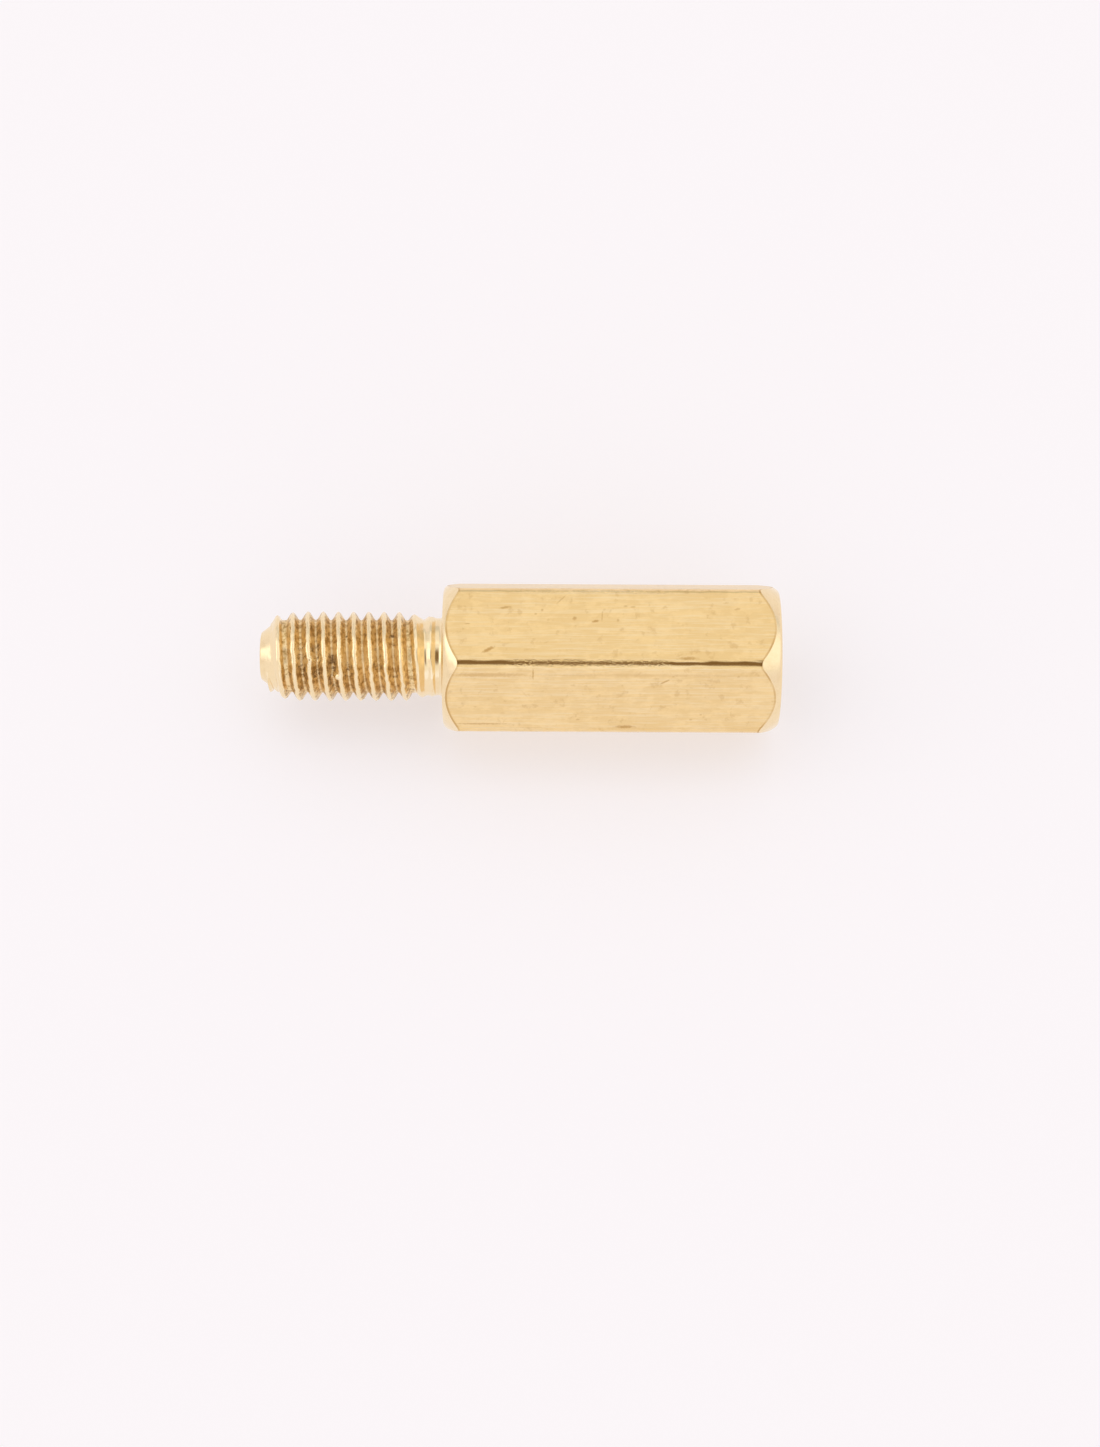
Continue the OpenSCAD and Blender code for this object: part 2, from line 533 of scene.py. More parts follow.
@dataclass(frozen=True)
class Bore:
    """The tapped hole, from the tapped end's face to the point that the drill left.

    Its thread lies between its mouth and its bottom, and grows to its full depth over the tap's
    lead. Wall_x and point_shares are rows on the plain wall and on the drill's point, and offsets
    are the thread's rows, as distances from the crest.
    """

    body_length: float = 11.0
    countersink_r: float = 1.6
    drill_r: float = 1.25
    root_r: float = 1.5
    tip_x: float = 1.8
    point_angle: float = 118.0
    point_shares: tuple[float, ...] = (0.99, 0.85, 0.65, 0.45, 0.25, 0.08, 0.0)
    wall_x: tuple[float, ...] = (3.5, 3.0, 2.7)
    wall_margin: float = 0.02
    mouth_bevel: float = 0.02
    ring_margin: float = 0.12
    thread_mouth: float = 10.95
    thread_bottom: float = 4.0
    mouth_fade: float = 0.04
    bottom_fade: float = 0.1
    lead_from: float = 4.2
    lead_to: float = 5.2
    groove_half: float = 0.1755
    flank_angle: float = 60.0
    rounding: float = 0.02
    columns: int = 72
    helix: Helix = Helix(PITCH, crest_x=0.25)
    offsets: tuple[float, ...] = (0.0, 0.045, 0.07, 0.092, 0.14, 0.19, 0.22, 0.25)

    def countersink(self, x: np.ndarray) -> np.ndarray:
        """Radius of the countersink: its radius at the face less the way in from the face."""
        return self.countersink_r - (self.body_length - x)

    def plain(self, x: np.ndarray) -> np.ndarray:
        """Radius of the hole without its thread."""
        return np.maximum(self.countersink(x), self.drill_r)

    def threaded(self, x: np.ndarray, angle: np.ndarray) -> np.ndarray:
        """Radius of the threaded length of the hole.

        Each groove deepens by the tangent of 60 degrees for the way in from its edge, as far as
        the root, and the tap's lead brings its depth to nothing towards the bottom.

        Args:
            x: place along the axis.
            angle: angle from +Y towards +Z.

        Returns:
            The radius at each place.
        """
        from_groove = 0.5 * self.helix.pitch - self.helix.off_crest(x, angle)[0]
        lead = np.clip((x - self.lead_from) / (self.lead_to - self.lead_from), 0.0, 1.0)
        flank = math.tan(math.radians(self.flank_angle))
        groove = self.drill_r + flank * (self.groove_half - from_groove)
        form = soft_most(groove, self.drill_r, self.rounding)
        form = soft_least(form, self.root_r, self.rounding)
        form = self.drill_r + lead * (form - self.drill_r)
        form = soft_most(form, self.countersink(x), self.rounding)
        share = ease(x, self.thread_bottom, self.thread_bottom + self.bottom_fade)
        share = share * (1.0 - ease(x, self.thread_mouth - self.mouth_fade, self.thread_mouth))
        return self.plain(x) + share * (form - self.plain(x))

    def build(self, skin: Skin) -> None:
        """Adds the countersink, the thread, the plain bore and the drill's point.

        Args:
            skin: the surface that it adds to.
        """
        angle = np.linspace(0.0, FULL_TURN, self.columns + 1)[None, :]
        face = np.array([[self.body_length, self.mouth_ring_r]])
        edge = np.array([[self.body_length, self.countersink_r]])
        on_cone = np.array([[self.thread_mouth, self.countersink(self.thread_mouth)]])
        bevel = rounded_corner(face, edge, on_cone, self.mouth_bevel)[:, 0]
        mouth = np.concatenate([face, bevel, on_cone])
        skin.grid(mouth[:, :1], mouth[:, 1:], angle, Finish.TURNED)

        x, wound = self.helix.strip(
            self.offsets, self.columns, self.thread_bottom, self.thread_mouth
        )
        x, wound = x[::-1], wound[::-1]
        radius = self.threaded(x, wound)
        depth = np.clip((radius - self.drill_r) / (self.root_r - self.drill_r), 0.0, 1.0)
        skin.grid(x, radius, wound, Finish.TAPPED, depth)

        height = self.drill_r / math.tan(math.radians(0.5 * self.point_angle))
        foot = self.tip_x + height
        wall_x = np.array([self.thread_bottom, *self.wall_x, foot + self.wall_margin, foot])
        wall = np.stack([wall_x, np.full(len(wall_x), self.drill_r)], axis=-1)
        share = np.array(self.point_shares)
        point = np.stack([self.tip_x + height * share, self.drill_r * share], axis=-1)
        inner = np.concatenate([wall, point])
        skin.grid(inner[:, :1], inner[:, 1:], angle, Finish.DRILLED)

    @property
    def mouth_ring_r(self) -> float:
        """Radius at which the hole's columns end on the tapped end's face."""
        return self.countersink_r + self.ring_margin

    @property
    def mouth_ring(self) -> np.ndarray:
        """The ring of points in which the hole's columns end on the tapped end's face.

        Returns:
            The points, the last one the same as the first.
        """
        angle = np.linspace(0.0, FULL_TURN, self.columns + 1)
        x, r = np.full(angle.shape, self.body_length), self.mouth_ring_r
        return np.stack([x, r * np.cos(angle), r * np.sin(angle)], axis=-1)


@dataclass(frozen=True)
class HexBar:
    """The length of drawn bar between the shoulder and the tapped end, chamfered at both.

    Slopes are in degrees from the axis, and rims are the radii at which the chamfers start. A
    round is how far a rim's rounding reaches over the end's face and up the chamfer, which takes no
    more of the chamfer than the corner's room. Bevel is the reach of the small rounding between a
    chamfer and the flats. Steps and rows say where the surface's points lie.
    """

    across_flats: float = 4.7
    length: float = 11.0
    edge_radius: float = 0.38
    shoulder_rim: float = 2.265
    shoulder_slope: float = 37.0
    mouth_rim: float = 2.235
    mouth_slope: float = 32.0
    bevel: float = 0.02
    shoulder_round: tuple[float, float] = (0.08, 0.44)
    mouth_round: tuple[float, float] = (0.05, 0.15)
    rim_steps: tuple[int, int] = (10, 8)
    row_margin: float = 0.05
    corner_room: float = 0.75
    reach_rounding: float = 0.03
    inner_r: float = 1.9
    arc_steps: int = 8
    flat_steps: int = 32
    flat_crowding: float = 0.60
    length_steps: int = 60
    first_rows: tuple[float, float] = (0.004, 0.010)
    last_rows: tuple[float, float] = (0.990, 0.996)

    def section(self) -> np.ndarray:
        """Points round the bar's section, from the middle of the rounded edge at +Y.

        Each of the six sides is half an arc about the edge's centre, a straight flat, and half of
        the next arc. The flat's end points lie close to the arcs, so that the flat shades flat.

        Returns:
            The points as y and z, with the first one again at the end.
        """
        corner_r = 0.5 * self.across_flats / math.cos(math.pi / 6)
        centre_r = corner_r - self.edge_radius / math.cos(math.pi / 6)
        turn = np.linspace(0.0, math.pi / 6, self.arc_steps + 1)
        arc = np.stack(
            [centre_r + self.edge_radius * np.cos(turn), self.edge_radius * np.sin(turn)], axis=-1
        )
        across = np.linspace(0.0, 1.0, self.flat_steps + 1)[1:-1]
        across = across - self.flat_crowding * np.sin(FULL_TURN * across) / FULL_TURN
        mirror = arc[::-1] * [1.0, -1.0]
        c, s = math.cos(math.pi / 3), math.sin(math.pi / 3)
        next_arc = mirror @ np.array([[c, s], [-s, c]])
        flat = arc[-1] + across[:, None] * (next_arc[0] - arc[-1])
        side = np.concatenate([arc, flat, next_arc[:-1]])
        turns = np.arange(6) * math.pi / 3
        spin = np.stack(
            [
                np.stack([np.cos(turns), np.sin(turns)], axis=-1),
                np.stack([-np.sin(turns), np.cos(turns)], axis=-1),
            ],
            axis=-2,
        )
        whole = np.concatenate(side @ spin)
        return np.concatenate([whole, whole[:1]])

    def build(self, skin: Skin, shoulder_ring: np.ndarray, mouth_ring: np.ndarray) -> None:
        """Adds the shoulder, both chamfers, the flats and the tapped end's face to the skin.

        In each column the profile goes out over the shoulder to its rim, up the cone to where
        the cone meets the bar's section, along the bar, down the other cone and in over the face.

        Args:
            skin: the surface that it adds to.
            shoulder_ring: the ring on the shoulder that it starts from.
            mouth_ring: the ring on the tapped end's face that it ends in.
        """
        section = self.section()
        bar_r = np.linalg.norm(section, axis=-1)
        angle = np.unwrap(np.arctan2(section[:, 1], section[:, 0]))
        start = (bar_r - self.shoulder_rim) / math.tan(math.radians(self.shoulder_slope))
        end = self.length - (bar_r - self.mouth_rim) / math.tan(math.radians(self.mouth_slope))
        ones = np.ones_like(bar_r)
        inner = np.stack([0.0 * ones, self.inner_r * ones], axis=-1)
        rim = np.stack([0.0 * ones, self.shoulder_rim * ones], axis=-1)
        first = np.stack([start, bar_r], axis=-1)
        last = np.stack([end, bar_r], axis=-1)
        far_rim = np.stack([self.length * ones, self.mouth_rim * ones], axis=-1)
        far_inner = np.stack([self.length * ones, self.inner_r * ones], axis=-1)

        near_room = self.corner_room * np.linalg.norm(first - rim, axis=-1, keepdims=True)
        far_room = self.corner_room * np.linalg.norm(last - far_rim, axis=-1, keepdims=True)
        near_face, near_cone = self.shoulder_round
        far_face, far_cone = self.mouth_round
        near_reach = soft_least(near_room, near_cone, self.reach_rounding)
        far_reach = soft_least(far_room, far_cone, self.reach_rounding)
        near_steps, far_steps = self.rim_steps
        margin = self.row_margin
        corners = [
            rounded_corner(inner, rim, first, near_reach, near_steps, margin, near_face),
            rounded_corner(rim, first, last, self.bevel),
            rounded_corner(first, last, far_rim, self.bevel),
            rounded_corner(far_inner, far_rim, last, far_reach, far_steps, margin, far_face)[::-1],
        ]
        evenly = np.linspace(0.0, 1.0, self.length_steps + 1)[2:-2]
        along = np.concatenate([self.first_rows, evenly, self.last_rows])
        third = np.array([1 / 3, 2 / 3])

        def between(a: np.ndarray, b: np.ndarray, shares: np.ndarray) -> np.ndarray:
            """Rows at these shares of the way from the end of one part to the start of the next."""
            return a[-1] + shares[:, None, None] * (b[0] - a[-1])

        parts = [
            inner[None],
            corners[0],
            between(corners[0], corners[1], third),
            corners[1],
            between(corners[1], corners[2], along),
            corners[2],
            between(corners[2], corners[3], third),
            corners[3],
            far_inner[None],
        ]
        profile = np.concatenate(parts)
        turned_rows = sum(len(p) for p in parts[:3]) + len(corners[1]) // 2
        finish = np.full(len(profile) - 1, Finish.DRAWN)
        finish[:turned_rows] = Finish.TURNED
        turned_rows = sum(len(p) for p in parts[6:]) + len(corners[2]) // 2
        finish[len(finish) - turned_rows :] = Finish.TURNED
        skin.grid(profile[..., 0], profile[..., 1], angle[None, :], finish)

        direction = np.stack([0.0 * ones, np.cos(angle), np.sin(angle)], axis=-1)
        skin.fan(shoulder_ring, self.inner_r * direction, True, Finish.TURNED)
        face = self.inner_r * direction + np.array([self.length, 0.0, 0.0])
        skin.fan(mouth_ring, face, False, Finish.TURNED)


@dataclass(frozen=True)
class Burr:
    """A raised sliver of metal on the thread: its place, its reach and its height."""

    x: float
    angle: float
    along: float
    across: float
    height: float


@dataclass(frozen=True)
class Swell:
    """An irregular swell: its height, the usual length of its waves and how many are summed."""

    height: float
    length: float
    count: int


@dataclass(frozen=True)
class Handling:
    """What making and use have done to the form: faint ripples, a bruised edge, nicks and burrs.

    A field with reach in its name says between which places or radii something comes in. A burr is
    bare of dirt from between the bare heights upwards.
    """

    seed: int = 11
    flats: Swell = Swell(0.0012, 2.2, 9)
    edges: Swell = Swell(0.0045, 0.55, 14)
    thread: Swell = Swell(0.006, 0.35, 16)
    nicks: Swell = Swell(0.02, 0.22, 16)
    sway: Swell = Swell(0.010, 0.4, 16)
    sway_stretch: float = 0.15
    bar_reach: tuple[float, float] = (0.15, 0.6)
    bar_end_reach: tuple[float, float] = (10.4, 10.85)
    bar_least_r: float = 2.0
    stud_end: float = -0.3
    stud_reach: tuple[float, float] = (1.0, 1.1)
    nick_reach: tuple[float, float] = (1.36, 1.44)
    sway_start: float = -5.85
    sway_reach: tuple[float, float] = (1.24, 1.36)
    bruise_angle: float = math.radians(99.0)
    bruise_depth: float = 0.0064
    bruise_reach: tuple[float, float] = (7.43, 8.43)
    bruise_fade: float = 0.15
    bare_height: tuple[float, float] = (0.01, 0.05)
    burrs: tuple[Burr, ...] = (
        Burr(-3.49, math.radians(144.7), 0.10, 0.10, 0.20),
        Burr(-4.22, math.radians(120.8), 0.14, 0.050, 0.15),
    )

    def waves(self, points: np.ndarray, swell: Swell, draws: int) -> np.ndarray:
        """A still swell: the sum of plane waves in drawn directions, over the root of their count.

        Args:
            points: where it is wanted, in millimetres.
            swell: the waves' usual length and their count.
            draws: which set of directions, lengths and phases is drawn.

        Returns:
            The swell at each point, mostly between -1 and 1.
        """
        count = swell.count
        draw = np.random.default_rng(self.seed + draws)
        way = draw.normal(size=(count, 3))
        way *= (FULL_TURN / swell.length) * draw.uniform(0.7, 1.5, (count, 1)) / np.linalg.norm(
            way, axis=1, keepdims=True
        )
        return np.sin(points @ way.T + draw.uniform(0, FULL_TURN, count)).sum(1) / math.sqrt(count)

    def apply(self, points: np.ndarray, edge: np.ndarray, bar: HexBar) -> np.ndarray:
        """Moves each point a little along its own radius, presses the bruise and lifts the burrs.

        Args:
            points: the welded points in millimetres.
            edge: 1 on the bar's rounded long edges, 0 elsewhere.
            bar: the hexagon, which gives the place of the edge that is bruised.

        Returns:
            The moved points.
        """
        x = points[:, 0]
        radius = np.linalg.norm(points[:, 1:], axis=1)
        out = points * [0.0, 1.0, 1.0] / np.maximum(radius, 1e-9)[:, None]
        on_bar = ease(x, *self.bar_reach) * (1.0 - ease(x, *self.bar_end_reach))
        on_bar = on_bar * (radius > self.bar_least_r)
        on_stud = (x < self.stud_end) * ease(radius, *self.stud_reach)
        lift = on_bar * (1.0 - edge) * self.flats.height * self.waves(points, self.flats, 0)
        lift += on_bar * edge * self.edges.height * self.waves(points, self.edges, 1)
        lift += on_stud * self.thread.height * self.waves(points, self.thread, 2)
        nick = np.clip(self.waves(points, self.nicks, 3) - 1.0, 0.0, 1.0)
        lift -= on_stud * ease(radius, *self.nick_reach) * self.nicks.height * nick
        moved = points + out * (lift - 0.5 * self.edges.height * on_bar * edge)[:, None]

        corner_r = 0.5 * bar.across_flats / math.cos(math.pi / 6)
        centre_r = corner_r - bar.edge_radius / math.cos(math.pi / 6)
        normal = np.array([0.0, math.cos(self.bruise_angle), math.sin(self.bruise_angle)])
        edge_turn = 2.0 * math.pi / 3
        centre = centre_r * np.array([0.0, math.cos(edge_turn), math.sin(edge_turn)])
        low, high = self.bruise_reach
        fade = self.bruise_fade
        press = ease(x, low, low + fade) * (1.0 - ease(x, high - fade, high))
        level = centre @ normal + bar.edge_radius - self.bruise_depth * press
        over = np.where(press > 0, np.maximum(moved @ normal - level, 0.0), 0.0)
        moved = moved - over[:, None] * normal

        sway = self.waves(points * [self.sway_stretch, 1.0, 1.0], self.sway, 4)
        swayed = on_stud * (x > self.sway_start) * ease(radius, *self.sway_reach)
        moved[:, 0] += swayed * (self.sway.height * sway)
        moved += out * (self.raised(points) * on_stud)[:, None]
        return moved

    def raised(self, points: np.ndarray) -> np.ndarray:
        """Height of the burrs: each one falls off with the squares of its distances over its reach.

        Args:
            points: points in millimetres.

        Returns:
            The height at each point.
        """
        radius = np.linalg.norm(points[:, 1:], axis=1)
        turn = np.arctan2(points[:, 2], points[:, 1])
        height = np.zeros(len(points))
        for burr in self.burrs:
            along = (points[:, 0] - burr.x) / burr.along
            across = radius * (turn - burr.angle) / burr.across
            height += burr.height * np.exp(-(along**2) - across**2)
        return height


# ---------------------------------------------------------------------------------------- nodes


class Shade:
    """Adds nodes to one tree and wires them, so that a pattern reads as a short formula."""

    def __init__(self, tree: bpy.types.NodeTree) -> None:
        """Keeps the tree that the nodes go to."""
        self.tree = tree

    def feed(self, socket: Socket, value: object) -> None:
        """Links a socket to another, or sets its plain value.

        Args:
            socket: the input that is fed.
            value: another socket, or a number, a vector or a colour.
        """
        if isinstance(value, bpy.types.NodeSocket):
            self.tree.links.new(value, socket)
        else:
            socket.default_value = value

    def add(
        self, kind: str, inputs: Mapping[str | int, object] | None = None, **settings: object
    ) -> bpy.types.Node:
        """Adds a node.

        Args:
            kind: the node's type.
            inputs: what its inputs get, by name or number.
            **settings: the node's own options.

        Returns:
            The node.
        """
        node = self.tree.nodes.new(kind)
        for name, value in settings.items():
            setattr(node, name, value)
        for name, value in (inputs or {}).items():
            self.feed(node.inputs[name], value)
        return node

    def calc(self, operation: str, *terms: object, clamp: bool = False) -> Socket:
        """One step of arithmetic on values.

        Args:
            operation: the step, by the node's name for it.
            *terms: what it works on.
            clamp: whether the result is kept from 0 to 1.

        Returns:
            The result.
        """
        inputs = dict(enumerate(terms))
        return self.add("ShaderNodeMath", inputs, operation=operation, use_clamp=clamp).outputs[0]

    def plus(self, a: object, b: object) -> Socket:
        """The sum of two values."""
        return self.calc("ADD", a, b)

    def minus(self, a: object, b: object, clamp: bool = False) -> Socket:
        """The first value less the second, kept from 0 to 1 where clamp is true."""
        return self.calc("SUBTRACT", a, b, clamp=clamp)

    def times(self, a: object, b: object) -> Socket:
        """The product of two values."""
        return self.calc("MULTIPLY", a, b)

    def over(self, a: object, b: object) -> Socket:
        """The first value over the second."""
        return self.calc("DIVIDE", a, b)

    def most(self, a: object, b: object) -> Socket:
        """The greater of two values."""
        return self.calc("MAXIMUM", a, b)

    def mean(self, a: object, b: object) -> Socket:
        """The mean of two values: half of each, added."""
        return self.plus(self.times(a, 0.5), self.times(b, 0.5))

    def swing(self, noise: object, spread: object) -> Socket:
        """What noise around 0.5 adds to a value: its distance from 0.5 times the spread."""
        return self.times(self.minus(noise, 0.5), spread)

    def vector(self, operation: str, *terms: object) -> bpy.types.Node:
        """One step of arithmetic on vectors."""
        return self.add("ShaderNodeVectorMath", dict(enumerate(terms)), operation=operation)

    def dot(self, a: object, b: object) -> Socket:
        """The dot product of two vectors."""
        return self.vector("DOT_PRODUCT", a, b).outputs["Value"]

    def scaled(self, place: object, by: object) -> Socket:
        """A vector times another one, axis by axis."""
        return self.vector("MULTIPLY", place, by).outputs[0]

    def length(self, place: object) -> Socket:
        """The length of a vector."""
        return self.vector("LENGTH", place).outputs["Value"]

    def point(self, x: object = 0.0, y: object = 0.0, z: object = 0.0) -> Socket:
        """A vector made of its three coordinates."""
        return self.add("ShaderNodeCombineXYZ", {0: x, 1: y, 2: z}).outputs[0]

    def axes(self, place: object) -> Sockets:
        """The three coordinates of a vector."""
        return self.add("ShaderNodeSeparateXYZ", {0: place}).outputs

    def turned(self, place: object, angle: object, axis: str, back: bool = False) -> Socket:
        """A vector turned about an axis.

        Args:
            place: the vector.
            angle: how far it turns, in radians.
            axis: the axis, by the node's name for it.
            back: whether it turns the other way.

        Returns:
            The turned vector.
        """
        inputs = {"Vector": place, "Angle": angle}
        node = self.add("ShaderNodeVectorRotate", inputs, rotation_type=axis, invert=back)
        return node.outputs[0]

    def ramp(
        self, value: object, low: object, high: object, to: tuple[float, float] = (0.0, 1.0)
    ) -> Socket:
        """A smooth step between two values.

        Args:
            value: what it depends on.
            low: where the step starts.
            high: where the step ends.
            to: the result up to its start and past its end.

        Returns:
            The result.
        """
        inputs = {0: value, 1: low, 2: high, 3: to[0], 4: to[1]}
        node = self.add("ShaderNodeMapRange", inputs, interpolation_type="SMOOTHSTEP")
        return node.outputs["Result"]

    def noise(
        self,
        place: object,
        scale: object = 1.0,
        detail: float = 2.0,
        rough: float = 0.5,
        w: object = None,
    ) -> Socket:
        """Smooth noise around 0.5.

        Args:
            place: where it is read.
            scale: how many of its cells lie in a unit of the place.
            detail: how many finer layers it has.
            rough: how strong the finer layers are.
            w: a fourth coordinate, if it has one.

        Returns:
            The noise.
        """
        inputs = {"Vector": place, "Scale": scale, "Detail": detail, "Roughness": rough}
        if w is None:
            node = self.add("ShaderNodeTexNoise", inputs, noise_dimensions="3D")
        else:
            node = self.add("ShaderNodeTexNoise", inputs | {"W": w}, noise_dimensions="4D")
        return node.outputs["Fac"]

    def mix(self, share: object, a: object, b: object) -> Socket:
        """Two colours mixed by a share, through the mix node's inputs and output for colours.

        Args:
            share: how much of the second colour there is, from 0 to 1.
            a: the first colour.
            b: the second colour.

        Returns:
            The mixed colour.
        """
        node = self.add("ShaderNodeMix", {0: share, 6: a, 7: b}, data_type="RGBA")
        return node.outputs[2]

    def place_mm(self) -> Socket:
        """The place on the piece in millimetres."""
        spot = self.add("ShaderNodeTexCoord").outputs["Object"]
        return self.vector("SCALE", spot, ORIGIN, ORIGIN, 1.0 / MM).outputs[0]

    def attribute(self, name: str) -> Socket:
        """One value that is stored at the mesh's points."""
        return self.add("ShaderNodeAttribute", attribute_name=name).outputs["Fac"]

    def effect(self, tree: bpy.types.NodeTree, inputs: Mapping[str, object]) -> Sockets:
        """What a node group puts out when its inputs, by name, are fed."""
        return self.add("ShaderNodeGroup", inputs, node_tree=tree).outputs


@dataclass
class Effect:
    """A node group under construction: its tree, its inputs and its outputs."""

    name: str
    inputs: dict[str, object]
    outputs: tuple[str, ...]

    def __post_init__(self) -> None:
        """Makes the tree and its sockets: a tuple is a vector and a number is a value."""
        self.tree = bpy.data.node_groups.new(self.name, "ShaderNodeTree")
        for name, value in self.inputs.items():
            kind = "NodeSocketVector" if isinstance(value, tuple) else "NodeSocketFloat"
            socket = self.tree.interface.new_socket(name, in_out="INPUT", socket_type=kind)
            socket.default_value = value
        for name in self.outputs:
            self.tree.interface.new_socket(name, in_out="OUTPUT", socket_type="NodeSocketFloat")
        self.shade = Shade(self.tree)
        self.given = self.shade.add("NodeGroupInput").outputs
        self.result = self.shade.add("NodeGroupOutput").inputs

    def put(self, name: str, value: Socket) -> None:
        """Sends a value out of the group."""
        self.shade.feed(self.result[name], value)


class Effects:
    """The patterns that several finishes share, each one a node group built once."""

    def __init__(self) -> None:
        """Builds every group."""
        self.mottle = self._mottle()
        self.turned_lines = self._turned_lines()
        self.wound_lines = self._wound_lines()
        self.scratches = self._scratches()
        self.rim_line = self._rim_line()
        self.grime = self._grime()
        self.mark = self._mark()
        self.flat_place = self._flat_place()

    def _mottle(self) -> bpy.types.NodeTree:
        """Cloudy patches drawn out along X, with finer ones inside them.

        Returns:
            The node group.
        """
        e = Effect("mottle", {"Place": ORIGIN, "Cell": 0.2, "Stretch": 2.0}, ("Mask",))
        s = e.shade
        along = s.over(1.0, s.times(e.given["Cell"], e.given["Stretch"]))
        across = s.over(1.0, e.given["Cell"])
        place = s.scaled(e.given["Place"], s.point(along, across, across))
        broad = s.noise(place, 0.35, 3.0, 0.55)
        fine = s.noise(place, 1.3, 3.0, 0.6)
        e.put("Mask", s.mean(broad, fine))
        return e.tree

    def _turned_lines(self) -> bpy.types.NodeTree:
        """Rings that a lathe's tool leaves: noise of x and the distance from the axis.

        Returns:
            The node group.
        """
        e = Effect("turned_lines", {"Place": ORIGIN, "Spacing": 0.03}, ("Height",))
        s = e.shade
        axes = s.axes(e.given["Place"])
        radius = s.length(s.scaled(e.given["Place"], (0, 1, 1)))
        ring = s.point(axes[0], radius)
        lines = s.noise(ring, s.over(1.0, e.given["Spacing"]), 2.0, 0.6)
        broken = s.ramp(s.noise(e.given["Place"], 3.0, 1.0), 0.35, 0.65, (0.55, 1.0))
        e.put("Height", s.swing(lines, broken))
        return e.tree

    def _wound_lines(self) -> bpy.types.NodeTree:
        """Lines that run along a thread: noise of the place across the thread's one pitch.

        That place is the fractional part of x over the pitch less the share of a turn.

        Returns:
            The node group.
        """
        inputs = {"Place": ORIGIN, "Pitch": PITCH, "Root": 0.0, "Spacing": 0.03}
        e = Effect("wound_lines", inputs, ("Height",))
        s = e.shade
        axes = s.axes(e.given["Place"])
        turn = s.over(s.calc("ARCTAN2", axes[2], axes[1]), FULL_TURN)
        pitches = s.over(s.minus(axes[0], e.given["Root"]), e.given["Pitch"])
        across = s.calc("FRACT", s.minus(pitches, turn))
        rate = s.over(e.given["Pitch"], e.given["Spacing"])
        lines = s.noise(e.given["Place"], 0.9, 2.0, 0.6, w=s.times(across, rate))
        e.put("Height", s.minus(lines, 0.5))
        return e.tree

    def _scratches(self) -> bpy.types.NodeTree:
        """Sparse hairline scratches: thin level lines of noise stretched along one direction.

        Returns:
            The node group.
        """
        inputs = {"Place": ORIGIN, "Length": 1.2, "Turn": 0.0, "Share": 0.5}
        e = Effect("scratches", inputs, ("Mask",))
        s = e.shade
        turned = s.turned(e.given["Place"], e.given["Turn"], "Z_AXIS")
        along = s.over(1.0, e.given["Length"])
        place = s.scaled(turned, s.point(along, 6.0, 6.0))
        off_level = s.calc("ABSOLUTE", s.minus(s.noise(place, 1.0, 0.0), 0.5))
        line = s.ramp(off_level, 0.0, 0.012, (1.0, 0.0))
        here = s.noise(e.given["Place"], 1.1, 1.0)
        least = s.minus(0.75, s.times(e.given["Share"], 0.3))
        e.put("Mask", s.times(line, s.ramp(here, least, 0.8)))
        return e.tree

    def _rim_line(self) -> bpy.types.NodeTree:
        """A dark line on the flats beside a chamfer, broken here and there.

        Its distance is the way along the axis from the chamfer's cone: the place's distance from
        the end, less the radius's height over the rim times the cone's run for each of height.

        Returns:
            The node group.
        """
        inputs = {"Place": ORIGIN, "End": 0.0, "Rim": 2.265, "Run": 1.3, "Width": 0.085}
        e = Effect("rim_line", inputs, ("Mask",))
        s = e.shade
        axes = s.axes(e.given["Place"])
        radius = s.length(s.point(0.0, axes[1], axes[2]))
        ahead = s.calc("ABSOLUTE", s.minus(axes[0], e.given["End"]))
        cone = s.times(s.minus(radius, e.given["Rim"]), e.given["Run"])
        away = s.minus(ahead, cone)
        broken = s.ramp(s.noise(e.given["Place"], 1.1, 1.0), 0.35, 0.60, (0.35, 1.0))
        full = s.times(e.given["Width"], 0.45)
        e.put("Mask", s.times(s.ramp(away, full, e.given["Width"], (1.0, 0.0)), broken))
        return e.tree

    def _grime(self) -> bpy.types.NodeTree:
        """Dirt that gathers in a thread's grooves, in patches and specks, most round one place.

        Returns:
            The node group.
        """
        inputs = {"Place": ORIGIN, "Recess": 0.0, "Amount": 0.5, "Worst": (-3.9, -1.0, 0.9)}
        e = Effect("grime", inputs, ("Mask",))
        s = e.shade
        patch = s.noise(e.given["Place"], 2.2, 2.0, 0.6)
        speck = s.noise(e.given["Place"], 9.0, 2.0, 0.65)
        both = s.mean(patch, speck)
        away = s.vector("DISTANCE", e.given["Place"], e.given["Worst"]).outputs["Value"]
        worst = s.ramp(away, 0.3, 1.5, (0.35, 0.0))
        level = s.minus(0.72, s.times(s.plus(e.given["Amount"], worst), 0.3))
        spots = s.ramp(both, level, s.plus(level, 0.12))
        e.put("Mask", s.times(spots, s.ramp(e.given["Recess"], 0.10, 0.45)))
        return e.tree

    def _flat_place(self) -> bpy.types.NodeTree:
        """Turns the place about the axis so that one flat lies level, and masks that flat.

        Returns:
            The node group.
        """
        inputs = {"Place": ORIGIN, "Turn": 0.0, "Level": 2.33}
        e = Effect("flat_place", inputs, ("X", "Across", "Mask"))
        s = e.shade
        axes = s.axes(s.turned(e.given["Place"], e.given["Turn"], "X_AXIS"))
        e.put("X", axes[0])
        e.put("Across", axes[1])
        e.put("Mask", s.calc("GREATER_THAN", axes[2], e.given["Level"]))
        return e.tree

